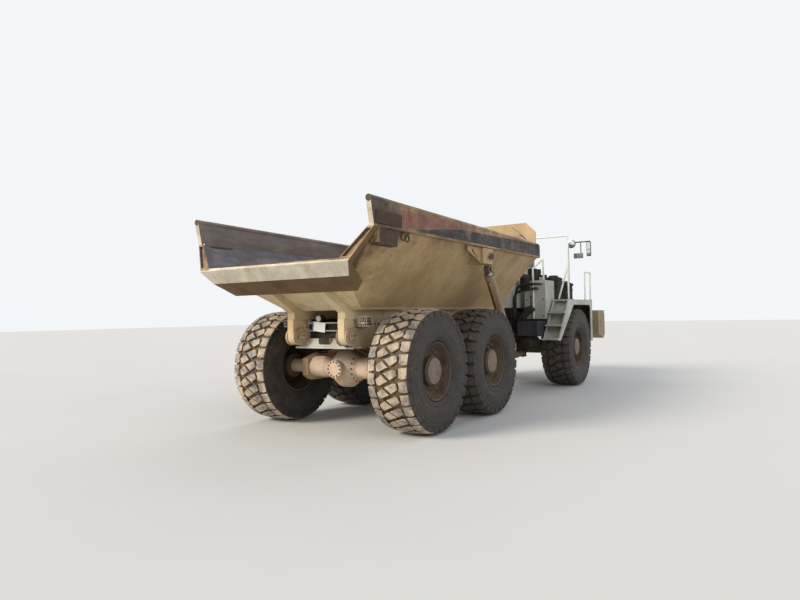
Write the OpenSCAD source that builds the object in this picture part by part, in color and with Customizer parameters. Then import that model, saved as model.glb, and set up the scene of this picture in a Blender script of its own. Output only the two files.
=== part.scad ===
// Articulated six-wheel dump truck, body down, parked straight.
// Origin on the ground at mid length, +X forward, +Y to the left, +Z up.

/* [Lengths along the truck] */
// Rear axle to the tip of the body's lip
rear_overhang = 1550; // [1400:10:1700]
// Rear axle to middle axle
bogie_spacing = 1750; // [1700:10:1850]
// Middle axle to front axle
wheelbase = 4250; // [4150:10:4400]
// Front axle to the face of the nose
front_overhang = 2600; // [2500:10:2700]
// Front axle back to the steering pin
pivot_setback = 1550; // [1500:10:1600]

/* [Wheels] */
// Tyre radius over the lugs
tyre_r = 807.5; // [780:2.5:830]
// Tyre width at its bulge
tyre_w = 600; // [540:5:620]
// Depth of the tread between the lugs
lug_depth = 42; // [20:1:60]
// Lugs round each side of the tread
lug_count = 24; // [20:1:28]
// Radius where the tyre sits on its rim
rim_r = 381; // [360:1:400]
// Radius of the hub cover
hub_r = 194; // [160:1:220]
// Middle of the truck to the middle of a tyre
track_half = 1175; // [1170:5:1230]
// Radius of the axle ends that carry the wheels
spindle_r = 95; // [80:1:110]

/* [Dump body] */
// Height of the floor's underside
floor_z = 1607; // [1607:1:1680]
// Half of the floor's width
floor_half = 640; // [600:1:680]
// Half width of the tail's edges, carried down to the floor's height
edge_half = 894; // [860:1:910]
// Half width over the top rails
rail_half = 1460; // [1430:1:1500]
// Height of the rails' lower edge
rail_z = 2512; // [2480:1:2560]
// Height of the rails' top at the tail
rail_top_rear = 2822; // [2780:1:2860]
// Height of the rails' top at the front
rail_top_front = 2737; // [2700:1:2780]
// Thickness of the upright rail
rail_t = 64; // [40:1:70]
// Plate thickness of the floor and walls
plate_t = 26; // [16:1:36]
// Rear axle back to where the floor turns up
chute_back = 535; // [500:5:600]
// Height of the lip's upper edge
lip_z = 2137; // [2080:1:2200]
// Height of the lip channel's face
lip_drop = 160; // [120:1:200]
// Middle axle forward to the foot of the front wall
front_foot = 1770; // [1700:10:1800]
// Middle axle forward to the top of the front wall
front_top = 1970; // [1930:10:2000]
// Height of the spill guard's top
guard_z = 3167; // [3100:1:3220]
// Angle that the body tips
tip_angle = 65; // [55:1:68]

/* [Body hinge and hoists] */
// Rear axle back to the body's hinge
hinge_back = 600; // [560:10:640]
// Height of the body's hinge
hinge_z = 1257; // [1240:1:1280]
// Radius of the hinge pins
hinge_pin_r = 45; // [35:1:55]
// Hoist foot: forward of the middle axle
hoist_foot_x = 1170; // [1150:5:1200]
// Hoist foot: out from the middle
hoist_foot_y = 1150; // [1130:5:1180]
// Hoist foot: height
hoist_foot_z = 1100; // [1090:5:1120]
// Hoist top: back from the middle axle
hoist_top_back = 90; // [60:5:120]
// Hoist top: out from the middle
hoist_top_y = 1390; // [1380:5:1400]
// Hoist top: height
hoist_top_z = 2200; // [2180:5:2220]
// Outer radius of the hoist's barrel
hoist_r = 75; // [65:1:80]

/* [Frames] */
// Half width over the rear frame's rails
chassis_half = 520; // [490:5:540]
// Width of one rear frame rail
chassis_rail_w = 170; // [140:5:190]
// Underside of the rear frame's rails
chassis_low_z = 1100; // [1095:5:1130]
// Top of the rear frame's rails
chassis_top_z = 1487; // [1460:1:1500]
// Height of the hitch's middle
hitch_z = 1000; // [990:5:1020]
// Radius of the steering pin
steer_pin_r = 60; // [50:1:70]
// Radius of the roll shaft at the hitch
roll_r = 150; // [130:5:160]
// Half width over the tractor's frame rails
front_half = 430; // [410:5:450]
// Radius of the axle tubes
axle_r = 150; // [130:5:160]
// Radius of the differential housings
diff_r = 270; // [250:5:280]

/* [Tractor] */
// Height of the fender decks
deck_z = 1797; // [1760:1:1830]
// Half width over the fender decks
deck_half = 1450; // [1420:5:1470]
// Height of the wheel arches
arch_z = 1720; // [1690:1:1740]
// Cab floor height
cab_floor_z = 1640; // [1600:5:1660]
// Cab roof height
cab_roof_z = 3300; // [3200:5:3350]
// Right side of the cab, out from the middle
cab_right = 520; // [480:5:540]
// Left side of the cab, out from the middle
cab_left = 850; // [800:5:880]
// Front axle back to the cab's rear wall
cab_rear_back = 1350; // [1320:5:1380]
// Front axle back to the cab's front wall
cab_front_back = 50; // [0:5:100]
// Thickness of the cab's walls
cab_t = 55; // [45:1:70]
// Half width of the hood
hood_half = 560; // [520:5:600]
// Height of the hood at the cab
hood_rear_z = 2140; // [2080:5:2200]
// Height of the hood at the nose
hood_front_z = 1830; // [1780:5:1900]
// Diameter of the handrails
grab_d = 34; // [28:1:42]

/* [Fits] */
// Running gap at pins and shafts
run_gap = 0.3; // [0.2:0.1:0.5]
// Gap between pieces that only meet
seat_gap = 0.3; // [0.2:0.1:0.5]

/* [Hidden] */
$fn = 48;
total = rear_overhang + bogie_spacing + wheelbase + front_overhang;
axle_back = -total / 2 + rear_overhang;
axle_mid = axle_back + bogie_spacing;
axle_front = axle_mid + wheelbase;
nose_x = axle_front + front_overhang;
pivot_x = axle_front - pivot_setback;
axle_z = tyre_r;
wheel_x = [axle_back, axle_mid, axle_front];

// Turns its children so that their +Z runs from a to b, standing at a
module along(a, b) {
  d = b - a;
  translate(a)
    rotate([0, acos(d[2] / norm(d)), atan2(d[1], d[0])])
      children();
}

// A round bar from a to b
module bar(a, b, r) {
  along(a, b) cylinder(r = r, h = norm(b - a));
}

// A box between two corners
module block(a, b) {
  translate(a) cube(b - a);
}

// A plate drawn in the XZ plane between y = y0 and y = y1
module side_plate(points, y0, y1) {
  translate([0, y1, 0])
    rotate([90, 0, 0])
      linear_extrude(height = y1 - y0) polygon(points);
}

// A plate drawn in the YZ plane between x = x0 and x = x1
module cross_plate(points, x0, x1) {
  translate([x0, 0, 0])
    rotate([90, 0, 90])
      linear_extrude(height = x1 - x0) polygon(points);
}

// Children on the left, and mirrored on the right
module both_sides() {
  children();
  mirror([0, 1, 0]) children();
}

// Wheels

// One cross section of the tyre, as [along the axle, radius]; left and right say where a lug stands
function tyre_ring(left, right) =
  let (half = tyre_w / 2, low = tyre_r - lug_depth, drop = 26)
  [[-half * 0.8, rim_r], [-half, rim_r + 175], [-half * 0.965, tyre_r - 125],
   [-half * 0.86, (left ? tyre_r : low) - drop], [-half * 0.1, left ? tyre_r : low],
   [half * 0.1, right ? tyre_r : low], [half * 0.86, (right ? tyre_r : low) - drop],
   [half * 0.965, tyre_r - 125], [half, rim_r + 175], [half * 0.8, rim_r]];

// The tyre: lugs of its two halves stand half a pitch apart
module tyre_shape() {
  steps = lug_count * 2;
  count = len(tyre_ring(true, false));
  points = [for (i = [0:steps - 1], p = tyre_ring(i % 2 == 0, i % 2 == 1))
    let (a = i * 360 / steps) [p[1] * cos(a), p[0], p[1] * sin(a)]];
  faces = [for (i = [0:steps - 1], k = [0:count - 1])
    let (j = (i + 1) % steps, m = (k + 1) % count,
         a = i * count + k, b = i * count + m, c = j * count + m, d = j * count + k)
    for (t = [[a, c, b], [a, d, c]]) t];
  polyhedron(points, faces);
}

// Rim with its flanges, disc, bore and hub cover; outer side towards +Y
module rim_shape() {
  rim_half = tyre_w * 0.4 + 12;
  seat_r = rim_r * cos(90 / lug_count) - seat_gap;
  disc_y = 95;
  cover_y = 215;
  rotate([-90, 0, 0])
    rotate_extrude()
      polygon([[spindle_r + run_gap, -160], [spindle_r + run_gap, disc_y + 40], [0, disc_y + 40],
               [0, cover_y], [hub_r - 34, cover_y], [hub_r, cover_y - 24], [hub_r, disc_y + 34],
               [hub_r + 62, disc_y + 22], [hub_r + 74, disc_y + 44], [rim_r - 74, disc_y + 62],
               [rim_r - 46, rim_half - 24], [seat_r, rim_half],
               [seat_r, -rim_half], [rim_r - 26, -rim_half], [rim_r - 30, disc_y],
               [hub_r, disc_y - 10], [hub_r - 20, -160]]);
}

// A tyre at axle number i; side is 1 on the left and -1 on the right
module tyre(i, side) {
  color([0.16, 0.15, 0.14])
    translate([wheel_x[i], side * track_half, axle_z])
      tyre_shape();
}

// A rim at axle number i
module rim(i, side) {
  color([0.42, 0.36, 0.3])
    translate([wheel_x[i], side * track_half, axle_z])
      mirror([0, side < 0 ? 1 : 0, 0])
        rim_shape();
}

// Rear frame

// Line from the hoist's foot to its top, and the top's place when the body is tipped
hinge_x = axle_back - hinge_back;
hoist_foot = [axle_mid + hoist_foot_x, hoist_foot_y, hoist_foot_z];
hoist_top = [axle_mid - hoist_top_back, hoist_top_y, hoist_top_z];
function tipped(p, a) = [hinge_x + cos(a) * (p[0] - hinge_x) - sin(a) * (p[2] - hinge_z), p[1],
                         hinge_z + sin(a) * (p[0] - hinge_x) + cos(a) * (p[2] - hinge_z)];
hoist_high = tipped(hoist_top, tip_angle);
hoist_axis = cross(hoist_top - hoist_foot, hoist_high - hoist_foot)
             / norm(cross(hoist_top - hoist_foot, hoist_high - hoist_foot));
hoist_closed = norm(hoist_top - hoist_foot);
hoist_open = norm(hoist_high - hoist_foot);
hoist_pin_r = 32;
hoist_eye_r = 62;
hoist_eye_half = 42;

// Places along the rear frame
rail_tail_x = hinge_x + 200;
rail_front_x = axle_mid + 1400;
clevis_t = 25;
arm_gap = 8;
chassis_in = chassis_half - chassis_rail_w;
roll_tube_r = roll_r + 80;
roll_front_x = pivot_x - 400;
roll_back_x = pivot_x - 800;
tow_lug_t = 80;
rear_tow_r = 30;
nose_low_z = hitch_z - 190;
nose_top_z = hitch_z + 190;
beam_in = chassis_half + 85;
beam_t = 110;
beam_pivot_r = 85;
beam_pivot_x = (axle_back + axle_mid) / 2;
beam_pivot_z = axle_z + 60;

module rear_rail() {
  block([rail_tail_x, chassis_in, chassis_low_z], [rail_front_x, chassis_half, chassis_top_z]);
  for (y = [chassis_in, chassis_half - clevis_t])
    difference() {
      union() {
        translate([hinge_x, y, hinge_z]) rotate([-90, 0, 0]) cylinder(r = hinge_pin_r + 70, h = clevis_t);
        block([hinge_x, y, hinge_z - hinge_pin_r - 70], [rail_tail_x + 1, y + clevis_t, hinge_z + hinge_pin_r + 70]);
      }
    }
  bar([hinge_x, chassis_in - 22, hinge_z], [hinge_x, chassis_half + 22, hinge_z], hinge_pin_r);
  // hanger that carries the walking beam's pivot
  side_plate([[beam_pivot_x - 190, chassis_low_z + 1], [beam_pivot_x - 110, beam_pivot_z - 120],
              [beam_pivot_x + 110, beam_pivot_z - 120], [beam_pivot_x + 190, chassis_low_z + 1]],
             chassis_in, chassis_half);
  bar([beam_pivot_x, chassis_half - 1, beam_pivot_z],
      [beam_pivot_x, beam_in + beam_t + 20, beam_pivot_z], beam_pivot_r);
}

module hoist_clevis() {
  foot = hoist_foot;
  n = hoist_axis;
  for (s = [-1, 1])
    bar(foot + n * s * (hoist_eye_half + 5), foot + n * s * (hoist_eye_half + 33), hoist_eye_r + 33);
  bar(foot - n * (hoist_eye_half + 38), foot + n * (hoist_eye_half + 38), hoist_pin_r);
}

module rear_frame() {
  color([0.72, 0.66, 0.56])
    difference() {
      union() {
        both_sides() rear_rail();
        // cross members
        block([rail_tail_x, -chassis_in - 1, chassis_low_z + 60], [rail_tail_x + 90, chassis_in + 1, chassis_top_z - 40]);
        block([beam_pivot_x - 90, -chassis_in - 1, chassis_low_z + 20],
              [beam_pivot_x + 90, chassis_in + 1, chassis_top_z - 120]);
        block([rail_front_x - 160, -chassis_in - 1, chassis_low_z + 20],
              [rail_front_x, chassis_in + 1, chassis_top_z - 60]);
        // tow lug below the tail
        block([rail_tail_x - 130, -90, chassis_low_z + 60], [rail_tail_x + 1, 90, chassis_low_z + 60 + tow_lug_t]);
      }
      translate([rail_tail_x - 65, 0, chassis_low_z]) cylinder(r = rear_tow_r, h = 400);
    }
}

// Nose of the rear frame, that narrows to the tube of the roll joint
module roll_tube() {
  base_x = axle_mid + 1000;
  color([0.72, 0.66, 0.56])
    difference() {
      union() {
        block([base_x, -chassis_half, nose_low_z], [rail_front_x + 10, chassis_half, chassis_low_z - seat_gap]);
        translate([0, 0, nose_low_z])
          linear_extrude(height = nose_top_z - nose_low_z)
            polygon([[rail_front_x + seat_gap, -chassis_half], [roll_front_x - 180, -roll_tube_r],
                     [roll_front_x - 180, roll_tube_r], [rail_front_x + seat_gap, chassis_half]]);
        bar([roll_back_x - 40, 0, hitch_z], [roll_front_x, 0, hitch_z], roll_tube_r);
      }
      bar([roll_back_x, 0, hitch_z], [roll_front_x + 1, 0, hitch_z], roll_r + run_gap);
    }
}

// Beams that stand out from the frame and carry the hoists' feet
module hoist_beam() {
  beam_top = hoist_foot_z - hoist_eye_r - 24;
  color([0.72, 0.66, 0.56])
    both_sides() {
      block([hoist_foot[0] - 85, chassis_half + seat_gap, beam_top - 110],
            [hoist_foot[0] + 85, hoist_foot_y + 115, beam_top]);
      hoist_clevis();
    }
}

// One driven axle, with the spindles its wheels turn on
module drive_axle(x, tube_half) {
  translate([x, 0, axle_z]) {
    rotate([-90, 0, 0]) {
      translate([0, 0, -tube_half]) cylinder(r = axle_r, h = tube_half * 2);
      translate([0, 0, -track_half - 120]) cylinder(r = spindle_r, h = track_half * 2 + 240);
    }
    rotate([-90, 0, 0])
      rotate_extrude()
        polygon([[0, -230], [axle_r, -230], [diff_r - 60, -150], [diff_r, -60], [diff_r, 60],
                 [diff_r - 60, 150], [axle_r, 230], [0, 230]]);
    rotate([0, 90, 0]) translate([0, 0, -diff_r - 60]) cylinder(r = 120, h = diff_r * 2 + 120);
  }
}

module bogie_axles() {
  color([0.75, 0.64, 0.55]) {
    for (x = [axle_back, axle_mid]) drive_axle(x, beam_in + beam_t + 30);
    // through shaft between the two housings
    bar([axle_back + diff_r, 0, axle_z], [axle_mid - diff_r, 0, axle_z], 50);
  }
}

// Walking beams: pivot on the frame, and an axle through each end
module bogie_beams() {
  color([0.6, 0.55, 0.47])
    both_sides()
      difference() {
        side_plate([[axle_back - 170, axle_z - 120], [axle_back - 60, axle_z - 190],
                    [axle_mid + 60, axle_z - 190], [axle_mid + 170, axle_z - 120],
                    [axle_mid + 170, axle_z + 120], [axle_mid + 60, axle_z + 185],
                    [beam_pivot_x + 200, beam_pivot_z + 150], [beam_pivot_x - 200, beam_pivot_z + 150],
                    [axle_back + 60, axle_z + 185], [axle_back - 170, axle_z + 120]],
                   beam_in, beam_in + beam_t);
        for (x = [axle_back, axle_mid])
          bar([x, beam_in - 1, axle_z], [x, beam_in + beam_t + 1, axle_z], axle_r + run_gap);
        bar([beam_pivot_x, beam_in - 1, beam_pivot_z],
            [beam_pivot_x, beam_in + beam_t + 1, beam_pivot_z], beam_pivot_r + run_gap);
      }
}

// Tail lamps in boxes on stalks beside the frame
module tail_lamps() {
  lamp_x = hinge_x + 110;
  lamp_z = 1457;
  // two rods across the frame's tail, and the work lamp over them
  color([0.6, 0.15, 0.1]) {
    for (z = [1335, 1425])
      bar([rail_tail_x - 10 - seat_gap, -chassis_in + 4, z], [rail_tail_x - 10 - seat_gap, chassis_in - 4, z], 10);
    block([rail_tail_x - 26, 155, 1418], [rail_tail_x - 3, 185, 1480]);
    bar([rail_tail_x + 60, 170, 1500], [rail_tail_x - 34, 170, 1500], 46);
  }
  color([0.6, 0.15, 0.1])
    both_sides() {
      block([lamp_x, chassis_half + 70, lamp_z - 45], [lamp_x + 60, chassis_half + 180, lamp_z + 45]);
      block([lamp_x + 20, chassis_half + seat_gap, lamp_z - 80], [lamp_x + 60, chassis_half + 100, lamp_z - 46]);
      block([lamp_x + 20, chassis_half + 70, lamp_z - 80], [lamp_x + 60, chassis_half + 100, lamp_z - 44]);
      block([lamp_x + 20, chassis_half + seat_gap, lamp_z - 80], [lamp_x + 200, chassis_half + 24, lamp_z - 46]);
    }
}

// Hitch

yoke_half_h = 180;
ear_t = 60;
ear_r = 150;
steer_eye_r = 50;
steer_eye_half = 40;
steer_z = hitch_z - yoke_half_h - ear_t - steer_eye_half - 40;
steer_foot = [pivot_x + 950, 420, steer_z];
steer_eye = [pivot_x - 300, 300, steer_z];
steer_rest = norm(steer_eye - steer_foot);

module hitch_yoke() {
  arm_low = steer_z + steer_eye_half + 5;
  color([0.45, 0.42, 0.38])
    difference() {
      union() {
        translate([pivot_x, 0, hitch_z - yoke_half_h + seat_gap])
          cylinder(r = ear_r, h = (yoke_half_h - seat_gap) * 2);
        bar([pivot_x, 0, hitch_z], [roll_back_x + 10, 0, hitch_z], roll_r);
        block([pivot_x - 370, -120, arm_low], [pivot_x - 210, 120, hitch_z]);
        block([pivot_x - 370, -steer_eye[1] - 60, arm_low], [pivot_x - 240, steer_eye[1] + 60, arm_low + 45]);
      }
      translate([pivot_x, 0, hitch_z - 300]) cylinder(r = steer_pin_r + run_gap, h = 600);
    }
}

// Dump body

front_foot_x = axle_mid + front_foot;
front_top_x = axle_mid + front_top;
chute_x = axle_back - chute_back;
lip_x = -total / 2;
wall_slope = (rail_half - rail_t - floor_half) / (rail_z - floor_z);
edge_slope = (rail_half - edge_half) / (rail_z - floor_z);
wall_thick_y = plate_t * sqrt(1 + wall_slope * wall_slope);
chute_slope = (lip_z - floor_z) / (chute_x - lip_x - 40);
tail_rail_x = lip_x + 170;
lip_front_x = lip_x + 430;
lip_low_z = lip_z - 315;
edge_depth = 95;
edge_groove = 45;
edge_rim = 15;
function wall_y(z) = floor_half + wall_slope * (z - floor_z);
function edge_y(z) = edge_half + edge_slope * (z - floor_z);
function chute_under(x) = floor_z + (chute_x - x) * chute_slope;
function tail_x(z) = lip_x + 14 + (tail_rail_x - lip_x - 14) * (z - lip_z - 14) / (rail_z - lip_z - 14);

// Upright channel along the tail edge of a side wall
module edge_channel() {
  low = lip_z - 60;
  intersection() {
    cross_plate([[wall_y(low) - wall_thick_y + 6, low], [edge_y(low) - 2, low], [edge_y(rail_z) - 2, rail_z],
                 [wall_y(rail_z) - wall_thick_y + 6, rail_z]],
                lip_x - 20, tail_rail_x + edge_depth + 20);
    side_plate([[lip_x + 14, lip_z + 14], [tail_rail_x, rail_z + 5], [tail_rail_x + edge_depth, rail_z + 5],
                [lip_x + 14 + edge_depth, lip_z + 14], [lip_x + 14 + edge_depth, low - 5], [lip_x + 60, lip_z - 30]],
               0, rail_half + 20);
  }
}

// Groove in the channel's rear face
module edge_channel_groove() {
  low = lip_z + 50;
  top = rail_z - 24;
  hull() {
    for (z = [low, top])
      translate([tail_x(z) - 10, wall_y(z) - wall_thick_y + 6 + edge_rim, z])
        cube([edge_groove, edge_y(z) - wall_y(z) + wall_thick_y - 8 - edge_rim * 2, 1]);
  }
}

module body_shell() {
  color([0.8, 0.71, 0.58])
    difference() {
      union() {
        body_plates();
        // beam across under the lip
        intersection() {
          cross_plate([[-edge_y(lip_low_z - 10), lip_low_z - 10], [edge_y(lip_low_z - 10), lip_low_z - 10],
                       [edge_y(lip_z + 20), lip_z + 20], [-edge_y(lip_z + 20), lip_z + 20]],
                      lip_x - 10, lip_front_x + 10);
          side_plate([[lip_x, lip_z], [lip_x + 140, lip_z - lip_drop], [lip_front_x, lip_low_z],
                      [lip_front_x, chute_under(lip_front_x) + 8], [lip_x + 14, lip_z + 14]],
                     -rail_half, rail_half);
        }
        both_sides() {
          edge_channel();
          // rubbing strip where the wall meets the floor
          cross_plate([[floor_half - 2, floor_z], [floor_half + 34, floor_z], [floor_half + 40, floor_z + 34],
                       [wall_y(floor_z + 34) - 2, floor_z + 34]],
                      chute_x + 40, front_foot_x - 20);
        }
      }
      both_sides() edge_channel_groove();
    }
}

module body_plates() {
  difference() {
    intersection() {
      cross_plate([[-floor_half, floor_z], [floor_half, floor_z],
                   [wall_y(rail_z), rail_z], [-wall_y(rail_z), rail_z]],
                  lip_x - 10, front_top_x + 10);
      side_plate([[front_foot_x, floor_z], [chute_x, floor_z], [lip_x + 80, chute_under(lip_x + 80)],
                  [lip_x + 14, lip_z + 14], [tail_rail_x, rail_z], [front_top_x, rail_z]],
                 -rail_half - 1, rail_half + 1);
    }
    intersection() {
      cross_plate([[-wall_y(floor_z + plate_t) + wall_thick_y, floor_z + plate_t],
                   [wall_y(floor_z + plate_t) - wall_thick_y, floor_z + plate_t],
                   [wall_y(rail_z + 10) - wall_thick_y, rail_z + 10],
                   [-wall_y(rail_z + 10) + wall_thick_y, rail_z + 10]],
                  lip_x - 20, front_top_x + 10);
      side_plate([[front_foot_x - plate_t * 0.55, floor_z + plate_t], [chute_x, floor_z + plate_t],
                  [lip_x - 30, floor_z + plate_t + (chute_x - lip_x + 30) * chute_slope],
                  [lip_x - 30, rail_z + 10], [front_top_x - plate_t * 1.1, rail_z + 10]],
                 -rail_half, rail_half);
    }
  }
}

// Upright rails along the top, with a round top edge and a lower flange
module body_rails() {
  color([0.25, 0.23, 0.22])
    both_sides() {
      side_plate([[tail_rail_x, rail_z + seat_gap], [tail_rail_x - 60, rail_top_rear],
                  [front_top_x, rail_top_front], [front_top_x, rail_z + seat_gap]],
                 rail_half - rail_t, rail_half);
      // round top edge
      bar([tail_rail_x - 60, rail_half - rail_t / 2, rail_top_rear - 4],
          [front_top_x - 44, rail_half - rail_t / 2, rail_top_front - 4], rail_t / 2 + 6);
      // lower flange
      block([tail_rail_x + 20, wall_y(rail_z) - wall_thick_y + 2, rail_z + seat_gap],
            [front_top_x - 40, rail_half + 14, rail_z + 24]);
    }
}

// Guard plate over the front wall
module spill_guard() {
  guard_t = 24;
  wing = rail_half - rail_t - seat_gap;
  color([0.83, 0.66, 0.45])
    difference() {
      union() {
        cross_plate([[-wing, rail_z + seat_gap], [wing, rail_z + seat_gap], [wing, rail_top_front + 250],
                     [wing - 180, guard_z], [-wing + 180, guard_z], [-wing, rail_top_front + 250]],
                    front_top_x - guard_t - 6, front_top_x - 6);
        // folded top edge and stiffening ribs on the front
        block([front_top_x - 7, -wing + 190, guard_z - 40], [front_top_x + 34, wing - 190, guard_z - 16]);
        for (y = [-900, -300, 300, 900])
          block([front_top_x - 7, y - 10, rail_z + 60], [front_top_x + 26, y + 10, guard_z - 20]);
      }
      // slanted slots beside the corners
      both_sides()
        cross_plate([[wing - 440, guard_z - 70], [wing - 404, guard_z - 70], [wing - 130, rail_top_front + 90],
                     [wing - 166, rail_top_front + 90]],
                    front_top_x - guard_t - 10, front_top_x);
    }
}

// Two runners under the floor, and the arms that reach down to the hinge
module body_runners() {
  arm_half = (chassis_rail_w - clevis_t * 2) / 2 - arm_gap;
  arm_y = (chassis_in + chassis_half) / 2;
  arm_tail_x = lip_front_x + seat_gap;
  color([0.78, 0.69, 0.56])
    both_sides()
      difference() {
        union() {
          // runner, with the arm that follows the chute out to the lip's beam
          side_plate([[arm_tail_x, chute_under(arm_tail_x) - seat_gap * 2], [arm_tail_x, lip_low_z + 16],
                      [hinge_x - 90, floor_z - 30], [hinge_x - 90, chassis_top_z + seat_gap],
                      [rail_front_x, chassis_top_z + seat_gap], [rail_front_x, floor_z - seat_gap],
                      [chute_x, floor_z - seat_gap]],
                     chassis_in + 25, chassis_half - 25);
          bar([hinge_x, arm_y - arm_half, hinge_z], [hinge_x, arm_y + arm_half, hinge_z], hinge_pin_r + 60);
          block([hinge_x - hinge_pin_r - 60, arm_y - arm_half, hinge_z],
                [hinge_x + hinge_pin_r + 60, arm_y + arm_half, chassis_top_z + 10]);
        }
        bar([hinge_x, arm_y - arm_half - 1, hinge_z], [hinge_x, arm_y + arm_half + 1, hinge_z], hinge_pin_r + run_gap);
      }
}

// Box brackets under the rails that hold the hoists' top pins
module hoist_brackets() {
  // gusset and lifting eye at the tail end of each rail
  low_z = hoist_top_z + hoist_eye_r + 12;
  top_z = rail_z - 8;
  pin_z = (low_z + top_z) / 2;
  bracket_back = 300;
  box_x = hoist_top[0] - bracket_back;
  color([0.82, 0.74, 0.62])
    both_sides() {
      cross_plate([[wall_y(low_z) + seat_gap, low_z], [rail_half, low_z], [rail_half, top_z],
                   [wall_y(top_z) + seat_gap, top_z]],
                  hoist_top[0] - bracket_back, hoist_top[0] + 45);
      bar([hoist_top[0] - 40, rail_half - 5, pin_z], [hoist_top[0] - 40, rail_half + 28, pin_z], 52);
      bar([hoist_top[0] - 125, rail_half - 5, pin_z - 20], [hoist_top[0] - 125, rail_half + 10, pin_z - 20], 34);
      cross_plate([[wall_y(rail_z - 170) + seat_gap, rail_z - 170], [rail_half - 8, rail_z - 170],
                   [rail_half - 8, rail_z - seat_gap], [wall_y(rail_z) + seat_gap, rail_z - seat_gap]],
                  tail_rail_x + edge_depth + seat_gap, tail_rail_x + 270);
      difference() {
        side_plate([[tail_rail_x + 380, rail_z - seat_gap], [tail_rail_x + 405, rail_z - 96],
                    [tail_rail_x + 475, rail_z - 96], [tail_rail_x + 500, rail_z - seat_gap]],
                   rail_half - 40, rail_half - 16);
        bar([tail_rail_x + 440, rail_half - 60, rail_z - 56], [tail_rail_x + 440, rail_half, rail_z - 56], 20);
      }
      // gusset behind the box, with its slanted slot
      difference() {
        side_plate([[box_x - 420, top_z - 70], [box_x + 1, low_z + 10], [box_x + 1, top_z], [box_x - 420, top_z]],
                   rail_half - 60, rail_half - 40);
        side_plate([[box_x - 300, top_z - 62], [box_x - 130, low_z + 76], [box_x - 100, low_z + 76],
                    [box_x - 260, top_z - 36]],
                   rail_half - 80, rail_half - 20);
      }
    }
}

// Hoists: each is a barrel, a sleeve that slides out of it, and a rod out of the sleeve
hoist_sleeve_r = hoist_r - 13;
hoist_rod_r = hoist_sleeve_r - 14;
hoist_barrel_end = hoist_closed - 110;

module hoist_barrel() {
  foot = hoist_foot;
  color([0.7, 0.64, 0.54])
    difference() {
      union() {
        bar(foot - hoist_axis * hoist_eye_half, foot + hoist_axis * hoist_eye_half, hoist_eye_r);
        along(foot, hoist_top) {
          translate([0, 0, 30]) cylinder(r = hoist_eye_half - 4, h = 90);
          translate([0, 0, 100]) cylinder(r = hoist_r, h = hoist_barrel_end - 100);
          translate([0, 0, hoist_barrel_end - 90]) cylinder(r = hoist_r + 9, h = 90);
          translate([hoist_r + 22, 0, 200]) cylinder(r = 14, h = hoist_barrel_end - 300);
          for (z = [210, hoist_barrel_end - 170])
            translate([hoist_r - 10, -18, z]) cube([40, 36, 46]);
        }
      }
      bar(foot - hoist_axis * 60, foot + hoist_axis * 60, hoist_pin_r + run_gap);
      along(foot, hoist_top) translate([0, 0, 120]) cylinder(r = hoist_sleeve_r + run_gap, h = hoist_closed);
    }
}

module hoist_sleeve() {
  color([0.62, 0.6, 0.56])
    along(hoist_foot, hoist_top)
      difference() {
        translate([0, 0, 130]) cylinder(r = hoist_sleeve_r, h = hoist_barrel_end - 130 + 36);
        translate([0, 0, 150]) cylinder(r = hoist_rod_r + run_gap, h = hoist_closed);
      }
}

module hoist_rod() {
  color([0.75, 0.75, 0.75])
    difference() {
      union() {
        along(hoist_foot, hoist_top) translate([0, 0, 160]) cylinder(r = hoist_rod_r, h = hoist_closed - 160 - 30);
        bar(hoist_top - [0, hoist_eye_half, 0], hoist_top + [0, hoist_eye_half, 0], hoist_eye_r);
      }
      bar(hoist_top - [0, 60, 0], hoist_top + [0, 60, 0], hoist_pin_r);
    }
}

// Steering cylinders, one each side of the hitch

steer_r = 55;
steer_rod_r = 28;
steer_barrel_end = 850;

module steer_barrel() {
  color([0.5, 0.47, 0.42])
    difference() {
      union() {
        translate(steer_foot - [0, 0, steer_eye_half]) cylinder(r = steer_eye_r, h = steer_eye_half * 2);
        along(steer_foot, steer_eye) {
          translate([0, 0, 30]) cylinder(r = steer_eye_half - 4, h = 60);
          translate([0, 0, steer_eye_r + 35]) cylinder(r = steer_r, h = steer_barrel_end - steer_eye_r - 35);
        }
      }
      translate(steer_foot - [0, 0, 100]) cylinder(r = 28 + run_gap, h = 200);
      along(steer_foot, steer_eye) translate([0, 0, 90]) cylinder(r = steer_rod_r + run_gap, h = steer_rest);
    }
}

module steer_rod() {
  color([0.75, 0.75, 0.75])
    difference() {
      union() {
        along(steer_foot, steer_eye) translate([0, 0, 370]) cylinder(r = steer_rod_r, h = steer_rest - 400);
        translate(steer_eye - [0, 0, steer_eye_half]) cylinder(r = steer_eye_r, h = steer_eye_half * 2);
      }
      translate(steer_eye - [0, 0, 60]) cylinder(r = 26, h = 120);
    }
}

// Tractor

front_rail_w = 80;
front_rail_low = 1000;
front_rail_top = 1250;
front_rail_in = front_half - front_rail_w;
cross_x = pivot_x + 380;
hood_back_x = axle_front - cab_front_back + 30;
deck_back_x = axle_front - 640;
deck_front_x = axle_front + 1000;
deck_in = 600;
arch_in = 860;
tank_in = deck_in + 50;
tank_out = 1090;
deck_t = 30;
ladder_in = 1120;
tank_back_x = axle_front - 1000;
tank_front_x = axle_front - 400;
shelf_z = 1406;

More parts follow.
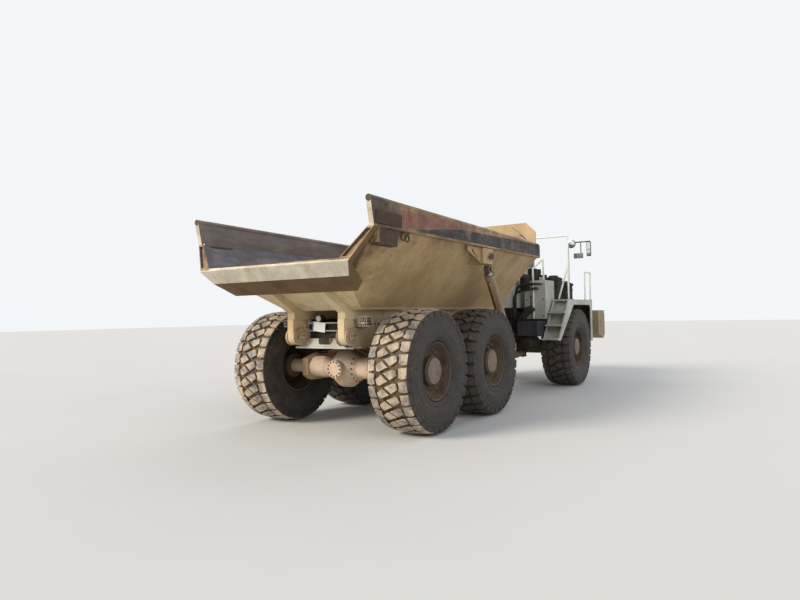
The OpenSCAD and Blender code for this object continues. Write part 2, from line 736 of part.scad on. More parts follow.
module front_frame() {
  color([0.35, 0.33, 0.3])
    difference() {
      union() {
        both_sides() {
          block([cross_x + 100, front_rail_in, front_rail_low], [nose_x - 480, front_half, front_rail_top]);
          // clevis for the steering cylinder
          block([steer_foot[0] + steer_eye_r + 8, front_rail_in, steer_z - steer_eye_half - 25],
                [steer_foot[0] + steer_eye_r + 40, front_half + 40, front_rail_low + 1]);
          for (z = [steer_z - steer_eye_half - 25, steer_z + steer_eye_half + 5])
            block([steer_foot[0] - steer_eye_r, steer_foot[1] - 60, z],
                  [steer_foot[0] + steer_eye_r + 9, steer_foot[1] + 60, z + 20]);
          translate([steer_foot[0], steer_foot[1], steer_z - steer_eye_half - 35])
            cylinder(r = 28, h = steer_eye_half * 2 + 70);
          // shelf that carries the tank at each side
          block([tank_back_x + 60, front_rail_in, front_rail_top - 1],
                [axle_front - tyre_r - 30, tank_out - 10, shelf_z]);
          // brackets that carry the fenders
          for (x = [deck_back_x + 120, deck_front_x - 160])
            block([x, front_half - 1, front_rail_low + 60], [x + 120, deck_in, front_rail_top - 30]);
          // bracket for the side box
          block([cross_x + 20, front_half - 1, front_rail_low + 90], [cross_x + 110, 700 - seat_gap, front_rail_low + 200]);
        }
        // cross members
        block([cross_x, -front_half, hitch_z - yoke_half_h - ear_t], [cross_x + 240, front_half, hitch_z + yoke_half_h + ear_t]);
        block([nose_x - 580, -front_half, front_rail_low], [nose_x - 480, front_half, front_rail_top]);
        // ears above and below the yoke
        for (z = [hitch_z - yoke_half_h - ear_t, hitch_z + yoke_half_h])
          translate([0, 0, z])
            linear_extrude(height = ear_t) {
              translate([pivot_x, 0]) circle(r = ear_r);
              polygon([[pivot_x, -ear_r], [cross_x, -front_half], [cross_x + 10, -front_half],
                       [cross_x + 10, front_half], [cross_x, front_half], [pivot_x, ear_r]]);
            }
        translate([pivot_x, 0, hitch_z - yoke_half_h - ear_t])
          cylinder(r = steer_pin_r, h = (yoke_half_h + ear_t) * 2);
      }
    }
}

strut_y = front_half + 250;
module front_axle() {
  color([0.55, 0.5, 0.44]) {
    drive_axle(axle_front, track_half - 300);
    both_sides() {
      // struts up to brackets on the frame
      bar([axle_front, strut_y, axle_z + axle_r - 30], [axle_front, strut_y, front_rail_top - 60], 62);
      block([axle_front - 90, front_half + seat_gap, front_rail_top - 90],
            [axle_front + 90, strut_y + 90, front_rail_top - 20]);
    }
  }
}

// Engine with the gearbox behind it, one plain block each
module engine_block() {
  half = front_rail_in - seat_gap;
  color([0.3, 0.3, 0.3]) {
    block([axle_front + 420, -half, 1110], [nose_x - 900, half, 1720]);
    block([axle_front - 700, -half + 60, 1110], [axle_front + 250, half - 60, 1560]);
    bar([axle_front + 240, 0, 1340], [axle_front + 430, 0, 1340], 200);
  }
}

// Nose: bumper beam with raised corners
nose_low = 890;
nose_half = 1300;
nose_top = 1570;
lamp_r = 85;
lamp_y = [820, 1080];
lamp_z = 1330;
lamp_deep = 60;
tow_pin_r = 25;
tow_pin_back = 70;
// The hood turns on two short pins above the nose
hood_pin_x = nose_x - 100;
hood_pin_z = front_rail_top + 45;
hood_pin_r = 13;
hood_arm_y = 300;
hood_arm_t = 34;

module nose() {
  color([0.8, 0.78, 0.7])
    difference() {
      union() {
        block([nose_x - 300, -nose_half, nose_low + 110], [nose_x, nose_half, 1240]);
        both_sides() {
          side_plate([[nose_x - 560, nose_low + 120], [nose_x - 120, nose_low], [nose_x, nose_low + 110],
                      [nose_x, nose_top - 100], [nose_x - 60, nose_top], [nose_x - 560, nose_top]],
                     700, nose_half);
          block([nose_x - 479.7, front_rail_in, front_rail_low + 20],
                [nose_x - 299, front_half, front_rail_top - 20]);
          block([hood_pin_x - 30, hood_arm_y + hood_arm_t / 2 + 6, 1239],
                [hood_pin_x + 30, hood_arm_y + hood_arm_t / 2 + 30, hood_pin_z + 24]);
          bar([hood_pin_x, hood_arm_y - hood_arm_t / 2 - 8, hood_pin_z],
              [hood_pin_x, hood_arm_y + hood_arm_t / 2 + 16, hood_pin_z], hood_pin_r);
        }
      }
      both_sides()
        for (y = lamp_y)
          bar([nose_x - lamp_deep, y, lamp_z], [nose_x + 1, y, lamp_z], lamp_r);
      translate([nose_x - tow_pin_back, 0, nose_low]) cylinder(r = tow_pin_r, h = 500);
    }
}

module headlamps() {
  color([0.85, 0.85, 0.8])
    both_sides()
      for (y = lamp_y)
        bar([nose_x - lamp_deep + seat_gap, y, lamp_z], [nose_x - 6, y, lamp_z], lamp_r - seat_gap);
}

// One fender with its arch, supports and steps, on the left; beside the cab the deck starts at rear_in
module fender_shape(rear_in) {
  arch_back = axle_front - 390;
  foot_x = axle_front - 1230;
  foot_z = 987;
  flange_t = 30;
  band = [[foot_x - 80, foot_z], [deck_back_x, deck_z], [deck_front_x, deck_z], [deck_front_x, 887],
          [deck_front_x - 150, 887], [deck_front_x - 150, arch_z - 90], [deck_front_x - 220, arch_z - 33],
          [arch_back + 50, arch_z - 33], [foot_x + 40, foot_z]];
  // deck
  block([hood_back_x, deck_in, deck_z - deck_t], [deck_front_x, deck_half, deck_z]);
  block([tank_front_x + 20, rear_in, deck_z - deck_t], [hood_back_x + 1, deck_half, deck_z]);
  block([deck_back_x, ladder_in, deck_z - deck_t], [tank_front_x + 21, deck_half, deck_z]);
  // arch plate under the deck, and its outer band
  side_plate([[arch_back + 40, deck_z - 1], [deck_front_x, deck_z - 1], [deck_front_x, 887],
              [deck_front_x - 24, 887], [deck_front_x - 24, arch_z], [arch_back + 20, arch_z]],
             arch_in, deck_half);
  side_plate(band, deck_half - flange_t, deck_half);
  // inner support down to the frame bracket
  block([deck_front_x - 160, deck_in + seat_gap, front_rail_low + 60], [deck_front_x - 40, deck_in + 40, deck_z - 1]);
  block([deck_front_x - 160, deck_in + 1, deck_z - 120], [deck_front_x - 40, arch_in + 1, deck_z - 1]);
  cross_plate([[deck_in + seat_gap, front_rail_low + 60], [deck_in + 40, front_rail_low + 60],
               [rear_in + 20, 1540], [rear_in + 20, deck_z - 1], [rear_in + seat_gap, deck_z - 1],
               [rear_in + seat_gap, 1570], [deck_in + seat_gap, front_rail_low + 180]],
              deck_back_x + 120, deck_back_x + 240);
  // steps between the band and an inner stringer
  side_plate([[foot_x - 80, foot_z], [deck_back_x, deck_z], [deck_back_x + 110, deck_z],
              [foot_x + 40, foot_z]],
             ladder_in, ladder_in + 20);
  side_plate([[foot_x + 20, foot_z], [deck_back_x + 150, deck_z - 1], [deck_back_x + 170, deck_z - 1],
              [foot_x + 40, foot_z]],
             ladder_in, deck_half - 1);
  for (i = [0:2]) {
    f = (i * 0.32) + 0.02;
    x = foot_x - 80 + (deck_back_x - foot_x + 80) * f;
    z = foot_z + (deck_z - foot_z) * f;
    block([x - 90, ladder_in, z], [x + 110, deck_half, z + 26]);
  }
}

module fender_right() {
  color([0.86, 0.85, 0.8]) mirror([0, 1, 0]) fender_shape(deck_in);
}

module fender_left() {
  color([0.86, 0.85, 0.8]) fender_shape(cab_left);
}

// Hydraulic tank beside the cab, with a rounded outer corner
module hydraulic_tank() {
  corner = 90;
  tank_h = 780;
  color([0.86, 0.85, 0.8])
    intersection() {
      side_plate([[tank_back_x, shelf_z + seat_gap], [axle_front - tyre_r + 40, shelf_z + seat_gap],
                  [tank_front_x, shelf_z + 200], [tank_front_x, shelf_z + tank_h], [tank_back_x, shelf_z + tank_h]],
                 -tank_out, -tank_in);
      translate([0, 0, shelf_z])
        linear_extrude(height = tank_h + 1) {
            translate([tank_back_x, -tank_out]) square([tank_front_x - tank_back_x - corner, tank_out - tank_in]);
            translate([tank_back_x, -tank_out + corner]) square([tank_front_x - tank_back_x, tank_out - tank_in - corner]);
            translate([tank_front_x - corner, -tank_out + corner]) circle(r = corner);
        }
    }
}

// Filters, breather and pre-cleaner on the tank
module tank_fittings() {
  z = shelf_z + 780 + seat_gap * 2;
  color([0.12, 0.12, 0.12]) {
    translate([tank_back_x + 180, -760, z]) cylinder(r = 95, h = 250);
    translate([tank_back_x + 400, -760, z]) cylinder(r = 95, h = 250);
    translate([tank_back_x + 300, -960, z]) cylinder(r = 60, h = 120);
    for (x = [180, 400])
      translate([tank_back_x + x, -760, z + 180]) cylinder(r = 103, h = 26);
    // filter housing with a domed top, on the tank's back
    block([tank_back_x - 60, -tank_in - 100, 2060], [tank_back_x - seat_gap, -tank_in - 20, 2180]);
    translate([tank_back_x - 125, -tank_in - 60, 1990]) cylinder(r = 96, h = 270);
    translate([tank_back_x - 125, -tank_in - 60, 2240])
      rotate_extrude()
        intersection() {
          scale([1, 0.8]) circle(r = 104);
          square([200, 200]);
        }
  }
}

module fuel_tank() {
  color([0.5, 0.48, 0.44])
    block([axle_front - 1250, 700, 1000], [axle_front - 1010, 1100, 1400]);
}

module battery_box() {
  color([0.2, 0.23, 0.28])
    block([cross_x - 360, -1100, front_rail_low + 87], [cross_x + 110, -700, front_rail_low + 367]);
}

// Air cleaner and boxes on the right deck
module air_cleaner() {
  // place, radius and height of each canister
  cans = [[deck_back_x + 455, 165, 470], [deck_back_x + 960, 235, 370]];
  color([0.1, 0.1, 0.1]) {
    for (c = cans)
      translate([c[0], -980, deck_z + seat_gap]) {
        cylinder(r = c[1] + 14, h = 30);
        cylinder(r = c[1], h = c[2]);
        translate([0, 0, c[2] * 0.55]) cylinder(r = c[1] + 8, h = 36);
        translate([0, 0, c[2] - 60]) cylinder(r = c[1] + 22, h = 44);
        translate([0, 0, c[2] - 1]) cylinder(r1 = c[1] * 0.8, r2 = c[1] * 0.5, h = 50);
      }
    // duct between the two
    bar([cans[0][0], -980, deck_z + 200], [cans[1][0], -980, deck_z + 200], 85);
  }
}

// Suction hoses from the tank's rear face to the pump under the cab
module suction_hoses() {
  color([0.08, 0.08, 0.08])
    for (i = [0:1]) {
      y = -990 + i * 60;
      z = 2107 - i * 90;
      bar([tank_back_x - seat_gap, y, z], [tank_back_x - 180, y, z], 24);
    }
}

cab_rear_x = axle_front - cab_rear_back;
cab_front_x = axle_front - cab_front_back;
door_back = cab_rear_x + 380;
door_front = cab_front_x - 180;
door_low = deck_z + 15;
door_top = cab_roof_z - 150;
pane_low = 2200;
pane_t = 8;

// Hollow cab with a window in every side and a doorway on the left
module cab_shell() {
  color([0.87, 0.86, 0.82])
    difference() {
      union() {
        block([cab_rear_x, -cab_right, cab_floor_z], [cab_front_x, cab_left, cab_roof_z - 40]);
        // roof skin with rounded edges, and its visor
        hull()
          for (x = [cab_rear_x + 45, cab_front_x + 75], y = [-cab_right + 45, cab_left - 45])
            translate([x, y, cab_roof_z - 70]) {
              cylinder(r = 60, h = 40, $fn = 32);
              cylinder(r = 40, h = 70, $fn = 32);
            }
      }
      block([cab_rear_x + cab_t, -cab_right + cab_t, cab_floor_z + cab_t],
            [cab_front_x - cab_t, cab_left - cab_t, cab_roof_z - cab_t]);
      // front and rear windows
      block([cab_front_x - cab_t - 1, -cab_right + 110, pane_low], [cab_front_x + 1, cab_left - 110, door_top]);
      block([cab_rear_x - 1, -cab_right + 110, pane_low], [cab_rear_x + cab_t + 1, cab_left - 110, door_top]);
      // right window
      block([cab_rear_x + 110, -cab_right - 1, pane_low], [cab_front_x - 110, -cab_right + cab_t + 1, door_top]);
      // left rear quarter window and the doorway
      block([cab_rear_x + 110, cab_left - cab_t - 1, pane_low], [door_back - 70, cab_left + 1, door_top]);
      block([door_back, cab_left - cab_t - 1, door_low], [door_front, cab_left + 1, door_top]);
    }
  // hinge pins the door hangs on
  color([0.87, 0.86, 0.82])
    for (z = door_hinge_z) {
      block([door_back - 60, cab_left - 1, z - 60], [door_back - 2, door_pin_y + 14, z - 40]);
      block([door_back - 60, cab_left + 10, z - 60], [door_back + door_gap + 12, door_pin_y + 14, z - 40]);
      bar([door_back + door_gap, door_pin_y, z - 50], [door_back + door_gap, door_pin_y, z + 40], door_pin_r);
    }
}

module cab_glass() {
  g = seat_gap;
  mid = cab_t / 2;
  color([0.6, 0.7, 0.75, 0.4]) {
    block([cab_front_x - mid, -cab_right + 110 + g, pane_low + g], [cab_front_x - mid + pane_t, cab_left - 110 - g, door_top - g]);
    block([cab_rear_x + mid, -cab_right + 110 + g, pane_low + g], [cab_rear_x + mid + pane_t, cab_left - 110 - g, door_top - g]);
    block([cab_rear_x + 110 + g, -cab_right + mid, pane_low + g], [cab_front_x - 110 - g, -cab_right + mid + pane_t, door_top - g]);
    block([cab_rear_x + 110 + g, cab_left - mid, pane_low + g], [door_back - 70 - g, cab_left - mid + pane_t, door_top - g]);
  }
}

door_gap = 6;
door_pin_r = 10;
door_knuckle_r = 20;
door_pin_y = cab_left + 27;
door_hinge_z = [door_low + 260, door_top - 260];
module cab_door() {
  color([0.87, 0.86, 0.82])
    difference() {
      union() {
        block([door_back + door_gap, cab_left - cab_t, door_low + door_gap], [door_front - door_gap, cab_left, door_top - door_gap]);
        for (z = door_hinge_z) {
          bar([door_back + door_gap, door_pin_y, z - 34], [door_back + door_gap, door_pin_y, z + 36], door_knuckle_r);
          block([door_back + door_gap, cab_left - 1, z - 34], [door_back + 110, cab_left + 20, z + 36]);
        }
      }
      for (z = door_hinge_z)
        bar([door_back + door_gap, door_pin_y, z - 60], [door_back + door_gap, door_pin_y, z + 60], door_pin_r + run_gap);
      block([door_back + 90, cab_left - cab_t - 1, pane_low], [door_front - 90, cab_left + 1, door_top - 90]);
      block([door_back + 90, cab_left - cab_t - 1, door_low + 120], [door_front - 90, cab_left - 20, pane_low - 80]);
    }
}

module door_glass() {
  g = seat_gap;
  color([0.6, 0.7, 0.75, 0.4])
    block([door_back + 90 + g, cab_left - cab_t / 2, pane_low + g], [door_front - 90 - g, cab_left - cab_t / 2 + pane_t, door_top - 90 - g]);
}

module seat() {
  floor_top = cab_floor_z + cab_t + seat_gap;
  x = cab_rear_x + 300;
  color([0.15, 0.15, 0.16]) {
    block([x + 60, 20, floor_top], [x + 420, 320, floor_top + 320]);
    block([x, -80, floor_top + 319], [x + 500, 420, floor_top + 440]);
    side_plate([[x - 60, floor_top + 439], [x + 70, floor_top + 439], [x - 20, floor_top + 1130], [x - 130, floor_top + 1130]], -60, 400);
  }
}

// Dash, column and steering wheel
module console() {
  floor_top = cab_floor_z + cab_t + seat_gap;
  x = cab_front_x - cab_t - seat_gap;
  color([0.18, 0.18, 0.18]) {
    block([x - 260, -cab_right + 120, floor_top], [x, cab_left - 120, floor_top + 480]);
    bar([x - 160, 170, floor_top + 470], [x - 300, 170, floor_top + 720], 30);
    along([x - 300, 170, floor_top + 715], [x - 400, 170, floor_top + 893]) {
      rotate_extrude() translate([205, 0]) circle(r = 16);
      for (a = [90, 210, 330]) rotate([0, 0, a]) rotate([0, 90, 0]) cylinder(r = 12, h = 205);
      cylinder(r = 34, h = 20, center = true);
    }
  }
}

// Hood that tilts forward, open below and behind
hood_front_x = nose_x - 150;
hood_low_z = front_rail_top + 12;
louvre_count = 7;
louvre_x = hood_back_x + 900;

module hood() {
  t = 32;
  profile = [[hood_back_x, hood_low_z], [hood_front_x, hood_low_z], [hood_front_x, hood_front_z - 60],
             [hood_front_x - 60, hood_front_z], [hood_back_x, hood_rear_z]];
  inner = [[hood_back_x - 1, hood_low_z - 1], [hood_front_x - t, hood_low_z - 1], [hood_front_x - t, hood_front_z - 60 - t],
           [hood_front_x - 60, hood_front_z - t], [hood_back_x - 1, hood_rear_z - t]];
  color([0.87, 0.86, 0.82])
    difference() {
      union() {
        difference() {
          side_plate(profile, -hood_half, hood_half);
          side_plate(inner, -hood_half + t, hood_half - t);
          // grille opening
          block([hood_front_x - t - 1, -hood_half + 90, hood_low_z + 70],
                [hood_front_x + 1, hood_half - 90, hood_front_z - 110]);
          // louvres along each side
          both_sides()
            for (i = [0:louvre_count - 1])
              side_plate([[louvre_x + i * 90, 1420], [louvre_x + i * 90 + 34, 1420], [louvre_x + i * 90 + 64, 1700],
                          [louvre_x + i * 90 + 30, 1700]],
                         hood_half - t - 1, hood_half + 1);
        }
        // hinge arms
        both_sides() {
          side_plate([[hood_front_x - 1, hood_low_z + 6], [hood_pin_x, hood_pin_z - 29], [hood_pin_x, hood_pin_z + 29],
                      [hood_front_x - 1, hood_low_z + 66]],
                     hood_arm_y - hood_arm_t / 2, hood_arm_y + hood_arm_t / 2);
          bar([hood_pin_x, hood_arm_y - hood_arm_t / 2, hood_pin_z],
              [hood_pin_x, hood_arm_y + hood_arm_t / 2, hood_pin_z], 30);
        }
      }
      bar([hood_pin_x, -hood_half, hood_pin_z], [hood_pin_x, hood_half, hood_pin_z], hood_pin_r + run_gap);
    }
}

module grille() {
  g = seat_gap;
  low = hood_low_z + 70 + g;
  high = hood_front_z - 110 - g;
  half = hood_half - 90 - g;
  bars = 9;
  color([0.15, 0.15, 0.15]) {
    for (y = [-half, half - 20, -10]) block([hood_front_x - 28, y, low], [hood_front_x - 4, y + 20, high]);
    for (i = [0:bars - 1]) {
      z = low + i * (high - low - 18) / (bars - 1);
      block([hood_front_x - 26, -half + 1, z], [hood_front_x - 6, half - 1, z + 18]);
    }
  }
}

// Handrails as bent bars on the decks
module rail_run(points) {
  for (i = [0:len(points) - 2]) bar(points[i], points[i + 1], grab_d / 2);
  for (p = points) translate(p) sphere(r = grab_d / 2 + 0.5);
}

module handrails() {
  z0 = deck_z + seat_gap * 2 + grab_d / 2 + 0.5;
  y = -deck_half + grab_d / 2;
  color([0.92, 0.92, 0.88]) {
    rail_run([[axle_front - 600, y, z0], [axle_front - 600, y, 3087], [axle_front - 600, -cab_right - grab_d / 2 - seat_gap, 3087]]);
    rail_run([[axle_front - 570, -1220, z0], [axle_front - 600, y, 2487]]);
    rail_run([[tank_back_x - 40, -850, shelf_z + 20], [tank_back_x - 40, -850, 2420],
              [tank_back_x - 40, -1060, 2600], [tank_back_x + 60, -1040, shelf_z + 780 + grab_d / 2 + seat_gap]]);
    both_sides()
      rail_run([[axle_front + 540, y, z0], [axle_front + 540, y, 2407], [axle_front + 940, y, 2407], [axle_front + 940, y, z0]]);
    rail_run([[axle_front - 180, -y, z0], [axle_front - 180, -y, 2500], [axle_front + 300, -y, 2500], [axle_front + 300, -y, z0]]);
  }
}

module mirrors() {
  x = axle_front + 960;
  z0 = deck_z + seat_gap;
  color([0.1, 0.1, 0.1])
    both_sides() {
      bar([x, 950, z0], [x, 950, 3140], 16);
      bar([x, 940, 3118], [x, 1450, 3118], 13);
      bar([x, 1430, 3135], [x, 1430, 2780], 11);
      block([x - 50, 1380, 2787], [x - 8, 1472, 3105]);
      bar([x, 1240, 3118], [x, 1240, 2860], 10);
      block([x - 44, 1090, 2750], [x - 6, 1290, 2862]);
      bar([x - 50, 1030, 3087], [x - 3, 1030, 3087], 95);
    }
}

tyre(0, -1);  // tyre_rear_right
tyre(0, 1);  // tyre_rear_left
tyre(1, -1);  // tyre_middle_right
tyre(1, 1);  // tyre_middle_left
tyre(2, -1);  // tyre_front_right
tyre(2, 1);  // tyre_front_left
rim(0, -1);  // rim_rear_right
rim(0, 1);  // rim_rear_left
rim(1, -1);  // rim_middle_right
rim(1, 1);  // rim_middle_left
rim(2, -1);  // rim_front_right
rim(2, 1);  // rim_front_left
rear_frame();
roll_tube();
hoist_beam();
bogie_axles();
bogie_beams();
tail_lamps();
hitch_yoke();
body_shell();
body_rails();
spill_guard();
body_runners();
hoist_brackets();
mirror([0, 1, 0]) hoist_barrel();  // hoist_barrel_right
mirror([0, 1, 0]) hoist_sleeve();  // hoist_sleeve_right
mirror([0, 1, 0]) hoist_rod();  // hoist_rod_right
hoist_barrel();  // hoist_barrel_left
hoist_sleeve();  // hoist_sleeve_left
hoist_rod();  // hoist_rod_left
mirror([0, 1, 0]) steer_barrel();  // steer_barrel_right
mirror([0, 1, 0]) steer_rod();  // steer_rod_right
steer_barrel();  // steer_barrel_left
steer_rod();  // steer_rod_left
front_frame();
front_axle();
engine_block();
nose();
headlamps();
fender_right();
fender_left();
hydraulic_tank();
tank_fittings();
fuel_tank();
battery_box();
air_cleaner();
suction_hoses();
cab_shell();
cab_glass();
cab_door();
door_glass();
seat();
console();
hood();
grille();
handrails();
mirrors();
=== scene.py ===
import random
from math import cos, hypot, pi, radians, sin, sqrt

import bmesh
import bpy
from mathutils import Matrix, Vector

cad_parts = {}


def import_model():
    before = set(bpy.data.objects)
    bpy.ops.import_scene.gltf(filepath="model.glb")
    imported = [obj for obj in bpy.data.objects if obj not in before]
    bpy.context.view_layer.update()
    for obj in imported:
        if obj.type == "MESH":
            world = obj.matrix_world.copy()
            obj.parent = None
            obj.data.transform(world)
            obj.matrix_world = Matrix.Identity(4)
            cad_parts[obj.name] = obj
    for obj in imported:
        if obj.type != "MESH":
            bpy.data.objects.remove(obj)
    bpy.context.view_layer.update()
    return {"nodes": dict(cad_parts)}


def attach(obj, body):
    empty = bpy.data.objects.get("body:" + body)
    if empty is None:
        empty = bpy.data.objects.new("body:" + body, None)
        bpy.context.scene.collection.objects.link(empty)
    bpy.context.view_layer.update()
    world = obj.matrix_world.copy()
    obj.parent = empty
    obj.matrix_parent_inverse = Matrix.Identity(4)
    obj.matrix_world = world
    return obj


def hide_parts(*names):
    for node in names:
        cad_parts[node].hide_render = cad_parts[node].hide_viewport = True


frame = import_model()

# Sizes of the frame that the pieces hang on, in metres
AXLES = {"rear": -3.525, "middle": -1.775, "front": 2.475}
SIDES = {"right": -1, "left": 1}
BOTH = (-1, 1)
WHEELS = [(ax, sd) for ax in AXLES for sd in SIDES]
# middle of a wheel across the truck, axle height, radii of tyre and rim
TRACK, AXLE_Z, TYRE_R, RIM_R = 1.175, 0.8075, 0.8075, 0.381
# pins of the dump body's hinge and of the hoists' heads
HINGE_X, HINGE_Z = -4.125, 1.257
HOIST_PIN_X, HOIST_PIN_Z = -1.905, 2.389
# where the bolts stand on the outer sides of the rear chassis rails
REAR_RAIL_Y = 0.5215
# rear wall of the hydraulic tank, top of the decks, walls of the cab and its panes
TANK_BACK_X, DECK_Z = 1.4745, 1.797
CAB_BACK_X, CAB_FRONT_X, CAB_RIGHT_Y, CAB_LEFT_Y = 1.125, 2.425, -0.52, 0.85
PANE_FOOT, PANE_TOP = 2.2, 3.15
# faces of the grille and the bumper, height of the headlamps
GRILLE_X, BUMPER_X, LAMP_Z = 4.9255, 5.0755, 1.33


def show(name, data):
    """Puts a new object into the scene."""
    obj = bpy.data.objects.new(name, data)
    bpy.context.scene.collection.objects.link(obj)
    return obj


# Camera: the photograph's own view
CAMERA_PLACE = (-10.2505, -5.2793, 1.5309)
YAW, PITCH, ROLL = radians(33.2029), radians(1.4235), radians(-0.9343)
FOCAL_PIXELS, PICTURE_WIDTH, SENSOR_WIDTH = 604.588, 800, 36


def place_camera():
    forward = Vector((cos(YAW) * cos(PITCH), sin(YAW) * cos(PITCH), sin(PITCH)))
    right = Vector((sin(YAW), -cos(YAW), 0.0))
    up = right.cross(forward)
    right_rolled = right * cos(ROLL) + up * sin(ROLL)
    up_rolled = -right * sin(ROLL) + up * cos(ROLL)
    data = bpy.data.cameras.new("photo_camera")
    data.sensor_width = SENSOR_WIDTH
    data.lens = FOCAL_PIXELS * SENSOR_WIDTH / PICTURE_WIDTH
    data.clip_end = 400
    cam = show("photo_camera", data)
    rot = Matrix((right_rolled, up_rolled, -forward)).transposed().to_4x4()
    cam.matrix_world = Matrix.Translation(CAMERA_PLACE) @ rot
    bpy.context.scene.camera = cam


place_camera()


# Materials: a colour of three numbers runs from 0 to 255, and one of four is linear already
def linear(colour):
    if not isinstance(colour, tuple) or len(colour) == 4:
        return colour
    shares = [v / 255.0 for v in colour]
    return tuple(v / 12.92 if v <= 0.04045 else ((v + 0.055) / 1.055) ** 2.4 for v in shares) + (1.0,)


def put(sock, value):
    """Gives a socket a number, a colour or a link."""
    if hasattr(value, "is_output"):
        sock.id_data.links.new(value, sock)
    else:
        sock.default_value = value


def add_node(tree, kind, inputs=()):
    n = tree.nodes.new("ShaderNode" + kind)
    for key, value in dict(inputs).items():
        put(n.inputs[key], value)
    return n


class Shade:
    """Builds one node material step by step."""

    def __init__(self, name):
        self.mat = bpy.data.materials.new(name)
        self.mat.use_nodes = True
        self.tree = self.mat.node_tree
        self.tree.nodes.clear()
        self.bsdf = self.node("BsdfPrincipled")
        self.out = self.node("OutputMaterial", {0: self.bsdf.outputs[0]})
        self.coord = self.node("TexCoord").outputs["Object"]
        self.seed = (sum(ord(c) for c in name) % 37) * 1.3

    def node(self, kind, inputs=()):
        return add_node(self.tree, kind, inputs)

    def noise(self, scale, detail=4.0, rough=0.55, stretch=(1, 1, 1), shift=0.0):
        place = (self.seed + shift, shift * 0.7, -shift)
        m = self.node("Mapping", {"Vector": self.coord, "Location": place, "Scale": stretch})
        look = {"Vector": m.outputs[0], "Scale": scale, "Detail": detail, "Roughness": rough}
        return self.node("TexNoise", look).outputs["Fac"]

    def band(self, sock, lo, hi, out_lo=0.0, out_hi=1.0):
        """Stretches values from lo to hi over the range, and clamps the rest."""
        m = self.node("MapRange", {"Value": sock, "From Min": lo, "From Max": hi, "To Min": out_lo,
                                   "To Max": out_hi})
        m.clamp = True
        return m.outputs["Result"]

    def math(self, op, a, b):
        m = self.node("Math", {0: a, 1: b})
        m.operation, m.use_clamp = op, True
        return m.outputs[0]

    def times(self, a, b):
        return self.math("MULTIPLY", a, b)

    def plus(self, a, b):
        return self.math("ADD", a, b)

    def minus(self, a, b):
        return self.math("SUBTRACT", a, b)

    def axis(self, i):
        return self.node("SeparateXYZ", {0: self.coord}).outputs[i]

    def mix(self, a, b, fac):
        m = self.node("Mix")
        m.data_type = "RGBA"
        for key, value in (("Factor", fac), (6, linear(a)), (7, linear(b))):
            put(m.inputs[key], value)
        return m.outputs[2]

    def bevel(self, radius):
        """The surface's direction, with its edges rounded."""
        bev = self.node("Bevel", {"Radius": radius})
        bev.samples = 4
        return bev.outputs[0]

    def edges(self):
        """How sharp an outer edge is here, from 0 to 1."""
        dot = self.node("VectorMath", {0: self.bevel(0.006), 1: self.node("NewGeometry").outputs["Normal"]})
        dot.operation = "DOT_PRODUCT"
        return self.band(dot.outputs["Value"], 0.985, 0.9)

    def bump(self, height, strength, distance, **more):
        values = {"Height": height, "Strength": strength, "Distance": distance, **more}
        return self.node("Bump", values).outputs[0]

    def plate_relief(self, broad, dent, fine, grain, strength):
        """Sheet steel with rounded edges, broad dents and a fine grain."""
        height = self.plus(self.times(broad, dent), self.times(fine, grain))
        return self.bump(height, strength, 0.02, Normal=self.bevel(0.005))

    def done(self, color, rough, normal=None, **fixed):
        fixed.update(Base_Color=color, Roughness=rough)
        if normal is not None:
            fixed["Normal"] = normal
        for key, value in fixed.items():
            put(self.bsdf.inputs[key.replace("_", " ")], value)
        return self.mat


DUST = (168, 140, 104)
MUD = (116, 90, 64)
DARK_BROWN = (98, 71, 46)
RUST = (104, 62, 38)
STEEL = (96, 90, 86)


def darker_marks(s):
    """Darker marks on the dump body: towards its tail, in a strip just below its rails, and scattered drops."""
    tail = s.times(s.band(s.axis(0), -3.7, -4.7), s.band(s.noise(2.6, 7, 0.7, shift=15), 0.4, 0.6))
    high = s.times(s.band(s.axis(2), 2.25, 2.55), s.band(s.noise(3.4, 7, 0.7, shift=17), 0.44, 0.62))
    drops = s.times(s.band(s.noise(13, 6, 0.75, shift=19), 0.6, 0.66),
                    s.band(s.noise(1.8, 3, 0.5, shift=23), 0.44, 0.58))
    return s.plus(s.plus(tail, s.times(high, 0.6)), drops)


